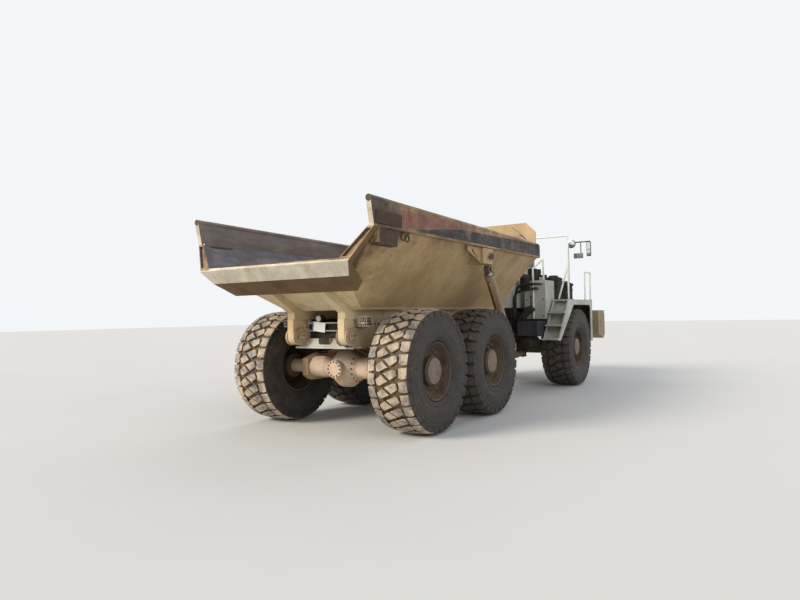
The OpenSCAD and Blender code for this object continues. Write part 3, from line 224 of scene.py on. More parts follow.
def painted(name, base, shadow, dust=0.5, dust_top=1.7, streak=0.5, chips=0.5, rust=0.35, rough=0.5,
            darkening=0.0):
    """Old paint: faded patches, runs of dirt, dust that thickens downward, rust, worn edges."""
    s = Shade(name)
    col = s.mix(base, shadow, s.band(s.noise(1.3, 6, 0.6), 0.38, 0.68))
    col = s.mix(col, MUD, s.times(s.band(s.noise(7, 5, 0.6, (1, 1, 0.13)), 0.52, 0.78), streak))
    low = s.band(s.axis(2), dust_top, dust_top - 1.5)
    cloud = s.band(s.noise(3.2, 8, 0.7, shift=4), 0.36, 0.62)
    powder = s.times(s.times(s.plus(low, 0.25), cloud), dust)
    col = s.mix(col, DUST, powder)
    # darker towards the body's tail, in a strip just under its rails, and in scattered drops
    if darkening:
        col = s.mix(col, DARK_BROWN, s.times(darker_marks(s), darkening))
    # chipped spots in patches, then rust that bleeds downward
    fine = s.band(s.noise(46, 4, 0.7, shift=9), 0.6, 0.68)
    patch = s.band(s.noise(2.1, 3, 0.5, shift=2), 0.5, 0.62)
    col = s.mix(col, RUST, s.times(s.times(fine, patch), chips))
    bleed = s.times(s.band(s.noise(4.4, 7, 0.65, (1, 1, 0.3), shift=6), 0.6, 0.74), rust)
    col = s.mix(col, RUST, bleed)
    edge = s.times(s.edges(), s.band(s.noise(24, 3, 0.6, shift=3), 0.42, 0.6))
    col = s.mix(col, STEEL, s.times(edge, 0.75))
    normal = s.plate_relief(s.noise(2.4, 2, 0.4, shift=8), 0.25, s.noise(90, 4, 0.7), 0.1, 0.35)
    return s.done(col, s.band(s.plus(powder, bleed), 0.0, 0.8, rough, 0.92), normal,
                  Specular_IOR_Level=0.22)


def worn_steel(name, base, light, rust, dust):
    """Plate scoured by use: long scratches, rust bloom and bright streaks."""
    s = Shade(name)
    col = s.mix(base, light, s.band(s.noise(5, 6, 0.65, (0.25, 1, 1)), 0.42, 0.66))
    col = s.mix(col, RUST, s.times(s.band(s.noise(2.2, 6, 0.7, shift=3), 0.5, 0.72), rust))
    col = s.mix(col, DUST, s.times(s.band(s.noise(3.1, 8, 0.7, shift=7), 0.52, 0.66), dust))
    scratch = s.band(s.noise(40, 3, 0.6, (0.06, 1, 1), shift=5), 0.6, 0.7)
    col = s.mix(col, light, s.times(scratch, 0.5))
    normal = s.plate_relief(s.noise(3, 3, 0.5, shift=8), 0.5, s.noise(70, 5, 0.7), 0.16, 0.45)
    return s.done(col, s.band(s.noise(6, 4), 0.3, 0.7, 0.55, 0.85), normal, Metallic=0.25)


def rubber(name, base, dusty, amount, grain=1.0, specks=0.8, patch=(0.36, 0.62)):
    """Grained rubber with clouds and small specks of dust."""
    s = Shade(name)
    cloud = s.times(s.band(s.noise(5.5, 8, 0.72, shift=2), *patch), amount)
    col = s.mix(base, dusty, cloud)
    speck = s.band(s.noise(22, 6, 0.7, shift=5), 0.56, 0.66)
    col = s.mix(col, DUST, s.times(speck, amount * specks))
    height = s.plus(s.times(s.noise(34, 6, 0.7), 0.5), s.times(speck, 0.3))
    return s.done(col, s.band(cloud, 0.0, 1.0, 0.62, 0.95), s.bump(height, 0.5 * grain, 0.008))


def plain(name, base, other, rough=0.5, metal=0.0, scale=30, strength=0.2, dust=0.3, **fixed):
    """A lesser surface: two close tones, a film of dust and a fine grain."""
    s = Shade(name)
    col = s.mix(base, other, s.band(s.noise(scale * 0.2, 5, 0.6), 0.35, 0.65))
    film = s.times(s.band(s.noise(4, 7, 0.7, shift=4), 0.42, 0.66), dust)
    col = s.mix(col, DUST, film)
    return s.done(col, s.band(film, 0.0, 0.6, rough, 0.9), s.bump(s.noise(scale, 5, 0.7), strength, 0.004),
                  Metallic=metal, **fixed)


def rail_side():
    """Outer side of the top rail: dirty tan paint, a faded maroon panel at the tail and a black band."""
    foot, panel_top = 2.545, 2.764
    band_end, band_bend, band_front = -3.93, -2.86, 0.2
    panel_end, panel_front = -4.33, -2.95
    s = Shade("rail_side")
    x, z = s.axis(0), s.axis(2)
    tan = s.mix((170, 140, 102), (122, 95, 68), s.band(s.noise(1.6, 6, 0.6), 0.36, 0.62))
    tan = s.mix(tan, (84, 65, 48), s.times(s.band(s.noise(4, 6, 0.65, shift=3), 0.46, 0.62), 0.8))
    tail = s.times(s.band(x, -4.15, -4.5), s.band(s.noise(3, 6, 0.7, shift=21), 0.34, 0.52))
    tan = s.mix(tan, (70, 56, 44), tail)
    # black band: its upper edge climbs steeply to the bend and gently after it
    line = s.plus(s.band(x, band_end, band_bend, 0.028, 0.147), s.band(x, band_bend, band_front, 0.0, 0.06))
    over = s.minus(z, foot)
    below = s.band(s.minus(line, over), 0.0, 0.004)
    black = s.times(s.times(below, s.band(x, band_end - 0.005, band_end + 0.005)),
                    s.band(z, foot - 0.007, foot - 0.001))
    scratch = s.band(s.noise(60, 3, 0.6, (0.05, 1, 1), shift=8), 0.62, 0.68)
    dark = s.mix((36, 33, 34), (70, 62, 56), s.band(s.noise(5, 6, 0.7, shift=7), 0.45, 0.72))
    col = s.mix(tan, dark, s.times(black, s.minus(1.0, s.times(scratch, 0.6))))
    # maroon panel: from a rising lower edge to just under the flange
    above = s.band(s.minus(over, s.band(x, -4.32, -2.885, 0.0, 0.147)), 0.0, 0.006)
    top = s.band(z, panel_top + 0.004, panel_top - 0.004)
    inside = s.times(s.band(x, panel_end - 0.004, panel_end + 0.004),
                     s.band(x, panel_front + 0.004, panel_front - 0.004))
    panel = s.times(s.times(s.times(above, top), inside), s.minus(1.0, black))
    maroon = s.mix((112, 58, 52), (140, 96, 76), s.band(s.noise(7, 7, 0.7, shift=11), 0.4, 0.64))
    wear = s.band(s.noise(9, 7, 0.7, shift=5), 0.36, 0.54)
    col = s.mix(col, maroon, s.times(panel, s.band(wear, 0.0, 1.0, 0.6, 0.95)))
    col = s.mix(col, DUST, s.times(s.band(s.noise(2.6, 8, 0.7, shift=13), 0.52, 0.7), 0.5))
    edge = s.times(s.edges(), s.band(s.noise(24, 3, 0.6, shift=3), 0.4, 0.6))
    col = s.mix(col, (190, 168, 136), s.times(edge, 0.6))
    normal = s.plate_relief(s.noise(3.4, 2, 0.4, shift=8), 0.5, s.noise(90, 4, 0.7), 0.12, 0.4)
    return s.done(col, s.band(s.noise(6, 4), 0.3, 0.7, 0.5, 0.8), normal)


def glass():
    """Clear panes with a thin uneven film."""
    s = Shade("cab_glass")
    film = s.times(s.band(s.noise(1.4, 2, 0.5), 0.42, 0.75), 0.35)
    col = s.mix((176, 190, 190), (186, 178, 162), film)
    clear = s.node("BsdfTransparent", {0: (0.8, 0.86, 0.86, 1)})
    pane = s.node("MixShader", {0: s.band(film, 0.0, 0.35, 0.2, 0.38), 1: clear.outputs[0],
                                2: s.bsdf.outputs[0]})
    put(s.out.inputs[0], pane.outputs[0])
    return s.done(col, s.band(film, 0.0, 0.5, 0.05, 0.4), IOR=1.45)


M = {
    "body": painted("body_paint", (190, 164, 124), (166, 136, 96), dust=0.35, streak=0.45, rust=0.3,
                    darkening=0.85),
    "chute": painted("chute_paint", (220, 200, 160), (190, 164, 124), dust=0.3, streak=0.4, rust=0.25),
    "lip": worn_steel("lip_steel", (196, 186, 164), (222, 214, 194), rust=0.35, dust=0.45),
    "inner": worn_steel("inner_steel", (86, 84, 90), (116, 114, 118), rust=0.45, dust=0.3),
    "inner_rail": worn_steel("inner_rail_steel", (116, 104, 98), (140, 130, 124), rust=0.35, dust=0.25),
    "guard": painted("guard_paint", (212, 184, 142), (184, 150, 110), dust=0.3, rust=0.35, streak=0.4),
    "rail_side": rail_side(),
    "pad": painted("pad_steel", (60, 53, 48), (78, 62, 48), dust=0.15, dust_top=3.4, rust=0.4, rough=0.8),
    # undersides at the tail, dark brown: dirt and painted shade
    "under": painted("under_lip", (112, 86, 58), (84, 66, 48), dust=0.2, dust_top=3.0, streak=0.7, rust=0.3,
                     rough=0.85),
    # inside of the wheel arches: painted shade, with dust
    "arch": painted("arch_inside", (36, 34, 34), (60, 50, 42), dust=0.5, dust_top=2.4, rough=0.9),
    "battery": painted("battery_box_paint", (36, 43, 60), (28, 32, 44), dust=0.2, streak=0.2),
    "wire": painted("guard_wire", (222, 214, 196), (190, 170, 140), dust=0.4, chips=0.2),
    "frame": painted("frame_paint", (196, 176, 142), (160, 132, 102), dust=0.8, streak=0.6, rust=0.4),
    "axle": painted("axle_paint", (236, 212, 188), (184, 158, 134), dust=0.6, streak=0.4, rust=0.3, rough=0.6),
    "dark": painted("dark_frame", (44, 42, 43), (62, 54, 48), dust=0.4, streak=0.3, rust=0.25, rough=0.65),
    "white": painted("tractor_paint", (196, 198, 190), (170, 170, 160), dust=0.32, streak=0.4, rust=0.18,
                     chips=0.35, rough=0.58),
    "rim": painted("rim_paint", (76, 68, 63), (54, 48, 45), dust=0.22, streak=0.2, rust=0.22, rough=0.7),
    "hub": painted("hub_paint", (134, 124, 114), (98, 86, 76), dust=0.4, streak=0.3, rust=0.4, rough=0.65),
    "cylinder": painted("cylinder_paint", (158, 136, 106), (120, 98, 74), dust=0.4, streak=0.5),
    # rear tyres' block tops: mud and dust, made lighter still as painted sunlight
    "tread": rubber("tread_rubber", (112, 109, 108), (208, 188, 158), 0.88, 1.8, 0.8, (0.41, 0.59)),
    "tread_dark": rubber("tread_rubber_dark", (58, 56, 56), (112, 98, 82), 0.5, 1.4),
    # middle and front tyres' grooves: black rubber with painted shade; also the lock rings' own rubber seals
    "groove_dark": rubber("groove_rubber_dark", (26, 24, 23), (112, 86, 60), 0.5),
    # rim's recess and the nuts in it: painted shade, with dust and rust
    "pit": painted("rim_recess", (50, 43, 39), (34, 30, 28), dust=0.35, rust=0.3, rough=0.85),
    "nose": painted("nose_paint", (128, 122, 108), (158, 140, 96), dust=0.4, dust_top=1.4, streak=0.4,
                    rust=0.2),
    "eye": painted("rod_eye_steel", (74, 68, 62), (110, 92, 72), dust=0.3, dust_top=3.0, rust=0.3),
    # rear tyres' grooves and blocks' feet: black rubber with painted shade, and dust
    "groove": rubber("groove_rubber", (34, 29, 26), (142, 110, 76), 0.65),
    # tyre sidewalls and shoulders: black rubber, darkened further as painted shade, with dust
    "side": rubber("side_rubber", (27, 26, 29), (82, 71, 61), 0.6, 1.2, 0.25),
    # black parts; on the tail's cross member this black is painted shade
    "black": plain("black_case", (26, 26, 27), (38, 37, 36), 0.6, dust=0.12, Specular_IOR_Level=0.2),
    "hose": plain("hose_rubber", (22, 22, 24), (34, 33, 33), 0.7, scale=60, dust=0.08, Specular_IOR_Level=0.15),
    "chrome": plain("rod_chrome", (0.62, 0.62, 0.64, 1), (0.5, 0.5, 0.52, 1), 0.16, 1.0, strength=0.03,
                    dust=0.12),
    "bolt": plain("bolt_steel", (120, 112, 102), (84, 72, 60), 0.5, 0.6, dust=0.4),
    "rail_white": plain("handrail_white", (238, 238, 232), (220, 219, 210), 0.4, dust=0.12),
    "plate": plain("bare_plate", (240, 240, 234), (228, 228, 224), 0.4, dust=0.1),
    "seat": plain("seat_fabric", (52, 54, 58), (66, 68, 72), 0.9, scale=260, strength=0.5, dust=0.1),
    "trim": plain("cab_trim", (58, 58, 60), (72, 71, 70), 0.6, scale=120),
    "block": plain("cast_block", (74, 74, 74), (92, 88, 84), 0.7, 0.3, strength=0.5),
    "blue": plain("blue_strip", (60, 96, 190), (52, 84, 170), 0.4, dust=0.1),
    "red": plain("red_lens", (168, 26, 18), (130, 16, 12), 0.22, dust=0.2, Coat_Weight=0.6),
    "amber": plain("amber_lens", (216, 110, 20), (190, 90, 14), 0.22, dust=0.2, Coat_Weight=0.6),
    "clear": plain("lamp_lens", (216, 220, 218), (190, 194, 192), 0.12, dust=0.15, Coat_Weight=1.0),
    "mirror": plain("mirror_glass", (0.8, 0.82, 0.84, 1), (0.74, 0.76, 0.78, 1), 0.04, 1.0, strength=0.01,
                    dust=0.08),
    "glass": glass(),
}

# The frame's own nodes by finish; wheels and cylinders are told by their names
FINISHES = {
    "frame": "rear_frame roll_tube hoist_beam bogie_beams",
    "axle": "bogie_axles",
    "dark": "tail_lamps hitch_yoke front_frame front_axle fuel_tank",
    "body": "body_shell hoist_brackets",
    "rail_side": "body_rails",
    "guard": "spill_guard",
    "chute": "body_runners",
    "block": "engine_block",
    "nose": "nose",
    "clear": "headlamps",
    "white": "fender_right fender_left hydraulic_tank cab_shell cab_door hood",
    "black": "tank_fittings air_cleaner grille mirrors",
    "battery": "battery_box",
    "hose": "suction_hoses",
    "glass": "cab_glass door_glass",
    "seat": "seat",
    "trim": "console",
    "rail_white": "handrails",
}
NODE_FINISH = {node: key for key, nodes in FINISHES.items() for node in nodes.split()}


def finish_of(node):
    if node.startswith("tyre"):
        return "side"
    if node.startswith("rim"):
        return "rim"
    if "barrel" in node:
        return "cylinder"
    if "rod" in node or "sleeve" in node:
        return "chrome"
    return NODE_FINISH[node]


for name, obj in frame["nodes"].items():
    obj.data.materials.clear()
    obj.data.materials.append(M[finish_of(name)])


def repaint(node, extra, choose):
    """Gives faces another finish by their place and direction; None keeps the node's own."""
    me = frame["nodes"][node].data
    for key in extra:
        me.materials.append(M[key])
    finishes = [None] + extra
    for p in me.polygons:
        p.material_index = finishes.index(choose(p.center, p.normal))


LIP_TOP = 2.16


def body_faces(c, n):
    outward = n.y * (1 if c.y > 0 else -1)
    # rear face of the folded lip
    if c.x < -4.85 and n.x < -0.6 and c.z < LIP_TOP:
        return "lip"
    # undersides of the lip, dark brown: dirt and painted shade; then undersides of the rising chute, then the
    # lip's slopes
    if c.x < -4.6 and n.z < -0.35:
        return "under"
    if c.x < -3.4 and n.z < -0.35 and abs(c.y) < 0.66:
        return "chute"
    if c.x < -4.9 and n.x < -0.3 and c.z < LIP_TOP:
        return "lip"
    # channels at the walls' tail edges
    if c.x < -4.6 and outward < 0.3 and n.x < -0.2 and c.z > LIP_TOP:
        return None
    # floor, inner sides and front wall
    if n.z > 0.2 or (n.z > -0.2 and outward < -0.2) or (n.x < -0.4 and c.x > -1.5):
        return "inner"
    return None


def rail_faces(c, n):
    """Rear ends, undersides and inner sides of the top rails."""
    outward = n.y * (1 if c.y > 0 else -1)
    if n.x < -0.8 and c.z < 2.79:
        return "lip"
    if c.z < 2.537 and abs(n.y) < 0.9:
        return "body"
    return "inner_rail" if outward < -0.3 and abs(c.y) < 1.43 else None


def fender_faces(c, n):
    """The wheel arch's hidden inside is painted dark: painted shade."""
    hidden = n.z < -0.3 or n.x < -0.7 or n.y * c.y < 0
    return "arch" if hidden and c.z < 1.79 and c.x > 2.05 and abs(c.y) > 0.86 else None


def frame_faces(c, n):
    """The tail's cross member, in the dark behind its rods, is painted black: painted shade."""
    inward = abs(n.x) > 0.7 or n.z > 0.7 or c.x > -3.8
    return "black" if abs(c.y) < 0.36 and c.z > 1.1 and inward else None


def rim_faces(c, n):
    """The recess between the hub's cover and the lock ring is painted dark: painted shade."""
    ax = min(AXLES.values(), key=lambda v: abs(v - c.x))
    return "pit" if 0.196 < hypot(c.x - ax, c.z - AXLE_Z) < 0.334 else None


def rod_faces(c, n):
    """The eye at the head of a hoist's rod."""
    return "eye" if c.z > 2.05 else None


for ax, sd in WHEELS:
    repaint(f"rim_{ax}_{sd}", ["pit"], rim_faces)
for sd in SIDES:
    repaint(f"hoist_rod_{sd}", ["eye"], rod_faces)
    repaint(f"fender_{sd}", ["arch"], fender_faces)
repaint("rear_frame", ["black"], frame_faces)
repaint("body_shell", ["inner", "lip", "under", "chute"], body_faces)
repaint("body_rails", ["inner_rail", "body", "lip"], rail_faces)


# Mesh helpers
OPEN = (False, False)


def angles(count, start=0.0):
    """Angles spaced evenly round a circle."""
    return [2 * pi * k / count + start for k in range(count)]


def bend(points, radius, steps=5):
    """Rounds the inner corners of a path."""
    pts = [Vector(p) for p in points]
    out = [pts[0]]
    for a, p, b in zip(pts, pts[1:], pts[2:]):
        ra = min(radius, (p - a).length * 0.45)
        rb = min(radius, (b - p).length * 0.45)
        s, e = p + (a - p).normalized() * ra, p + (b - p).normalized() * rb
        for i in range(steps + 1):
            t = i / steps
            out.append(s * (1 - t) ** 2 + p * 2 * t * (1 - t) + e * t * t)
    out.append(pts[-1])
    return out


def across(d):
    """A direction square to d."""
    ref = Vector((0, 0, 1)) if abs(d.z) < 0.9 else Vector((1, 0, 0))
    return d.cross(ref).normalized()


class Build:
    """Collects the faces of one piece, in the frame's own metres; a mark is a face's material."""

    def __init__(self):
        self.verts, self.faces, self.marks = [], [], []

    def rings(self, loops, mark=0, caps=(True, True)):
        """Joins loops of equal length into a skin, capped at the ends."""
        base, n = len(self.verts), len(loops[0])
        self.verts.extend(Vector(p) for loop in loops for p in loop)
        rows = [[base + i * n + k for k in range(n)] for i in range(len(loops))]
        faces = [[r[k - 1], r[k], q[k], q[k - 1]] for r, q in zip(rows, rows[1:]) for k in range(n)]
        if caps[0]:
            faces.append(rows[0][::-1])
        if caps[1]:
            faces.append(rows[-1])
        self.faces += faces
        self.marks += [mark] * len(faces)

    def box(self, lo, hi, ease, mark=0):
        """A block whose edges are eased."""
        lo, hi = Vector(lo), Vector(hi)
        e = min(ease, min(hi - lo) * 0.45)

        def loop(z, inset):
            x0, x1, y0, y1 = lo.x + inset, hi.x - inset, lo.y + inset, hi.y - inset
            return [(x0 + e, y0, z), (x1 - e, y0, z), (x1, y0 + e, z), (x1, y1 - e, z),
                    (x1 - e, y1, z), (x0 + e, y1, z), (x0, y1 - e, z), (x0, y0 + e, z)]
        self.rings([loop(lo.z, e), loop(lo.z + e, 0), loop(hi.z - e, 0), loop(hi.z, e)], mark)

    def side_box(self, sd, lo, hi, ease, mark=0):
        """A block given for the left side; sd = -1 mirrors it to the right."""
        y0, y1 = sorted((sd * lo[1], sd * hi[1]))
        self.box((lo[0], y0, lo[2]), (hi[0], y1, hi[2]), ease, mark)

    def tube(self, path, radius, sides, mark=0):
        """A round bar along points; radius is one number or one a point."""
        pts = [Vector(p) for p in path]
        radii = radius if isinstance(radius, list) else [radius] * len(pts)
        u = across((pts[1] - pts[0]).normalized())
        loops = []
        for i, (p, r) in enumerate(zip(pts, radii)):
            d = (pts[min(i + 1, len(pts) - 1)] - pts[max(i - 1, 0)]).normalized()
            u = (u - d * u.dot(d)).normalized()
            v = d.cross(u)
            loops.append([p + (u * cos(t) + v * sin(t)) * r for t in angles(sides)])
        self.rings(loops, mark)

    def pipe(self, points, rounding, radius, sides, mark=0, steps=5):
        """A tube whose corners are rounded."""
        self.tube(bend(points, rounding, steps), radius, sides, mark)

    def disc(self, centre, axis, profile, sides, mark=0):
        """A turned form: profile is (along the axis, radius) pairs."""
        c, d = Vector(centre), Vector(axis).normalized()
        u = across(d)
        v = d.cross(u)
        self.rings([[c + d * h + (u * cos(t) + v * sin(t)) * r for t in angles(sides)]
                    for h, r in profile], mark)

    def cap(self, centre, axis, r, height, ease, sides, mark=0):
        """A flat round cover with an eased rim."""
        self.disc(centre, axis, [(0, r), (height - 0.002, r), (height, r - ease), (height, 0.001)], sides, mark)

    def bolt(self, centre, axis, r, h, mark=0):
        """A six-sided head on its washer."""
        self.disc(centre, axis, [(-0.004, r * 1.35), (0.003, r * 1.35), (0.0035, r * 1.25)], 14, mark)
        self.disc(centre, axis, [(0.0, r), (h * 0.8, r), (h, r * 0.82)], 6, mark)

    def bolt_ring(self, centre, axis, radius, count, r, h, mark, start=0.0):
        """Bolts round a centre, on a face that looks along x or y."""
        x, y, z = centre
        for a in angles(count, start):
            u, w = radius * cos(a), radius * sin(a)
            self.bolt((x, y + u, z + w) if axis[0] else (x + u, y, z + w), axis, r, h, mark)

    def piece(self, name, body, mats, smooth=40):
        me = bpy.data.meshes.new(name)
        me.from_pydata([tuple(v) for v in self.verts], [], self.faces)
        for m in mats:
            me.materials.append(M[m])
        for p, mark in zip(me.polygons, self.marks):
            p.material_index = mark
            p.use_smooth = True
        me.validate()
        me.update()
        bm = bmesh.new()
        bm.from_mesh(me)
        bmesh.ops.recalc_face_normals(bm, faces=bm.faces)
        bm.to_mesh(me)
        bm.free()
        me.set_sharp_from_angle(angle=radians(smooth))
        obj = show(name, me)
        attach(obj, body)
        return obj


# Tyres with a rock tread: shoulder blocks and slanted middle blocks, half a pitch apart
PITCHES = 30
TREAD_HALF = 0.283
GROOVE_R = TYRE_R - 0.04
# the groove material lays painted shade between the blocks
GROOVES = {"tread": "groove", "tread_dark": "groove_dark"}
# section from the bead to the middle of the tread: (radius, metres across)
SECTION = [(RIM_R + 0.002, -0.236), (RIM_R + 0.016, -0.262), (RIM_R + 0.05, -0.276), (RIM_R + 0.056, -0.283),
           (RIM_R + 0.07, -0.284), (RIM_R + 0.078, -0.28), (0.52, -0.2965), (0.56, -0.299),
           (0.566, -0.2975), (0.59, -0.298), (0.64, -0.297), (0.672, -0.294), (0.678, -0.297),
           (0.694, -0.2965), (0.7, -0.29), (0.735, -0.283), (GROOVE_R - 0.02, -0.27),
           (GROOVE_R - 0.004, -0.24), (GROOVE_R, -0.15), (GROOVE_R + 0.001, 0.0)]
# outlines of one pitch's blocks, upper, lower, right and left: (share of a pitch, metres across)
BLOCKS = [
    [(-0.42, 0.138), (-0.02, 0.154), (0.34, 0.064), (0.1, 0.018), (-0.12, -0.026), (-0.46, 0.1)],
    [(0.44, 0.034), (0.76, -0.098), (0.7, -0.138), (0.3, -0.154), (-0.03, -0.06), (0.2, -0.014)],
    [(0.1, -0.286), (0.92, -0.286), (0.88, -0.226), (0.84, -0.168), (0.5, -0.176), (0.16, -0.168),
     (0.04, -0.226)],
    [(-0.42, 0.286), (0.4, 0.286), (0.44, 0.226), (0.36, 0.17), (0.02, 0.178), (-0.36, 0.166),
     (-0.46, 0.226)],
]
# section of a shoulder block: (radius, metres across)
SHOULDER = [(TYRE_R - 0.03, 0.2865), (TYRE_R - 0.036, 0.2935), (0.735, 0.296), (0.708, 0.2925),
            (0.706, 0.284), (TYRE_R - 0.055, 0.27)]


def crown(v):
    """Radius of the tread's top at v metres from its middle."""
    return TYRE_R - 0.026 * (abs(v) / TREAD_HALF) ** 2.4


def on_wheel(ax, r, angle, y):
    """A point at radius r round an axle, with the angle from straight up."""
    return (AXLES[ax] + r * sin(angle), y, AXLE_Z + r * cos(angle))


def tyre_piece(ax, sd, turn, seed, tread):
    rng = random.Random(seed)
    b = Build()
    middle = SIDES[sd] * TRACK

    def at(r, angle, y):
        return on_wheel(ax, r, angle, middle + y)

    full = SECTION + [(r, -y) for r, y in SECTION[-2::-1]]
    loops = [[at(r, a, y) for a in angles(96)] for r, y in full]
    for i in range(len(full) - 1):
        groove = len(SECTION) - 4 <= i < len(full) - len(SECTION) + 3
        b.rings([loops[i], loops[i + 1]], 1 if groove else 2, OPEN)
    b.rings([loops[-1], loops[0]], 2, OPEN)
    pitch = 2 * pi / PITCHES
    reach = TREAD_HALF + 0.005
    for i in range(PITCHES):
        for outline in BLOCKS:
            jig = [rng.uniform(-0.004, 0.004) for _ in outline]
            wear = rng.uniform(0.0, 0.004)
            mid_u = sum(u for u, _ in outline) / len(outline)
            mid_v = sum(v for _, v in outline) / len(outline)

            def loop(depth, shrink):
                """The outline at a depth below the block's top, drawn in by a share."""
                pts = []
                for (u, v), j in zip(outline, jig):
                    uu = mid_u + (u - mid_u) * (1 - shrink)
                    vv = mid_v + (v - mid_v) * (1 - shrink) + j
                    r = crown(vv) - wear - depth
                    pts.append(at(r, turn + (i + uu) * pitch, max(-reach, min(reach, vv))))
                return pts
            # the block's foot, dark with the grooves' painted shade, then its top
            b.rings([loop(0.048, -0.05), loop(0.012, 0.0)], 1, OPEN)
            b.rings([loop(0.012, 0.0), loop(0.006, 0.02), loop(0.0, 0.07)], 0, (False, True))
        # the shoulder blocks run on down the sidewall
        half = 0.4 * pitch
        for side, share in ((1, -0.01), (-1, 0.51)):
            mid = turn + (i + share) * pitch
            ends = ((mid - half, 0.006), (mid - half * 0.92, 0.0),
                    (mid + half * 0.92, 0.0), (mid + half, 0.006))
            b.rings([[at(r - inset * 0.3, a, side * (y - inset)) for r, y in SHOULDER]
                     for a, inset in ends], 2)
    obj = b.piece(f"tread_{ax}_{sd}", f"wheel_{ax}_{sd}", [tread, GROOVES[tread], "side"], 30)
    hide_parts(f"tyre_{ax}_{sd}")


for index, (ax, sd) in enumerate(WHEELS):
    tyre_piece(ax, sd, 0.05 + index * 0.037, 11 + index, "tread" if ax == "rear" else "tread_dark")


# Wheels: lock ring and its seals, nuts, hub cover with its bolts and plug
def rim_trim(ax, sd):
    b = Build()
    side = SIDES[sd]
    out = (0, side, 0)

    def level(y):
        return side * TRACK + side * y

    def ring(profile, mark):
        loops = [[on_wheel(ax, r, a, level(y)) for a in angles(64)] for r, y in profile]
        b.rings(loops + loops[:1], mark, OPEN)

    ring([(0.352, 0.238), (0.358, 0.249), (0.374, 0.2585), (0.379, 0.256), (0.377, 0.247), (0.362, 0.24)], 0)
    ring([(0.336, 0.226), (0.338, 0.2325), (0.346, 0.24), (0.35, 0.238), (0.345, 0.229)], 1)
    ring([(0.194, 0.19), (0.1965, 0.192), (0.1965, 0.172), (0.194, 0.17)], 1)
    b.disc((AXLES[ax], level(0.2145), AXLE_Z), out,
           [(0, 0.168), (0.004, 0.168), (0.006, 0.165), (0.006, 0.1), (0.009, 0.097), (0.009, 0.0005)], 40, 2)
    # the nuts in the rim's recess share its painted shade
    for a in angles(20, pi / 20):
        b.bolt(on_wheel(ax, 0.3, a, level(0.153)), out, 0.012, 0.012, 3)
    for a in angles(6):
        b.bolt(on_wheel(ax, 0.146, a, level(0.2195)), out, 0.008, 0.006, 2)
    b.cap((AXLES[ax] + 0.05, level(0.2235), AXLE_Z - 0.03), out, 0.018, 0.008, 0.003, 12, 2)
    b.piece(f"rim_trim_{ax}_{sd}", f"wheel_{ax}_{sd}", ["rim", "groove_dark", "hub", "pit"])


for ax, sd in WHEELS:
    rim_trim(ax, sd)


# Tail of the rear frame
def tail_lamp_guards():
    """Four lenses a side, behind a guard of crossed wires."""
    b = Build()
    wire_r = 0.0032
    for sd in BOTH:
        x, yc, zc = -4.015, sd * 0.645, 1.457
        for k in (0, 1):
            for m in (0, 1):
                y, z = yc - 0.05 + k * 0.052, zc - 0.04 + m * 0.042
                outer = (k == 1) == (sd > 0)
                b.box((x - 0.01, y, z), (x + 0.002, y + 0.046, z + 0.038), 0.004, 1 if outer or m else 2)
        for k in range(5):
            y = yc - 0.07 + k * 0.035
            hoop = ((0.01, 0.074), (-0.045, 0.066), (-0.045, -0.066), (0.01, -0.074))
            b.pipe([(x + u, y, zc + w) for u, w in hoop], 0.02, wire_r, 6, 0, 3)
        for k in range(4):
            z = zc - 0.057 + k * 0.038
            hoop = ((0.01, -0.078), (-0.046, -0.072), (-0.046, 0.072), (0.01, 0.078))
            b.pipe([(x + u, yc + w, z) for u, w in hoop], 0.02, wire_r, 6, 0, 3)
    b.piece("tail_lamp_guards", "rear_chassis", ["wire", "red", "clear"])


def tail_plate():
    """The plate with its blue strip, a little askew, and the round lamp above it."""
    b = Build()
    b.box((-3.985, 0.035, 1.322), (-3.98, 0.262, 1.452), 0.001)
    b.box((-3.987, 0.24, 1.324), (-3.984, 0.26, 1.45), 0.001, 1)
    turn = Matrix.Rotation(radians(7.0), 3, "X")
    middle = Vector((-3.982, 0.15, 1.387))
    b.verts = [middle + turn @ (v - middle) for v in b.verts]
    b.disc((-3.962, 0.17, 1.5), (-1, 0, 0), [(0, 0.043), (0.004, 0.043), (0.01, 0.03), (0.012, 0.001)], 24, 2)
    b.piece("tail_plate", "rear_chassis", ["plate", "blue", "clear"])


def rear_bolts():
    """Caps of the hinge pins, and the bolts of the rails and axles."""
    b = Build()
    for sd in BOTH:
        for y, out in ((0.52, 1), (0.35, -1)):
            face = (0, sd * out, 0)
            b.cap((HINGE_X, sd * (y + out * 0.021), HINGE_Z), face, 0.058, 0.009, 0.004, 24)
            b.bolt_ring((HINGE_X, sd * (y + out * 0.03), HINGE_Z), face, 0.036, 3, 0.01, 0.009, 1, 0.5)
        for x0, step, count, z in ((-3.7, 0.09, 5, 1.42), (-0.72, 0.08, 5, 1.15), (-2.78, 0.09, 4, 1.15)):
            for k in range(count):
                b.bolt((x0 + k * step, sd * REAR_RAIL_Y, z), (0, sd, 0), 0.014, 0.013, 1)
    for x in (AXLES["rear"], AXLES["middle"]):
        b.bolt_ring((x - 0.331, 0, AXLE_Z), (-1, 0, 0), 0.1, 12, 0.011, 0.011, 1)
        for sd in BOTH:
            b.bolt_ring((x, sd * 0.186, AXLE_Z), (0, sd, 0), 0.19, 16, 0.01, 0.009, 1)
    b.piece("rear_bolts", "rear_chassis", ["frame", "bolt"])


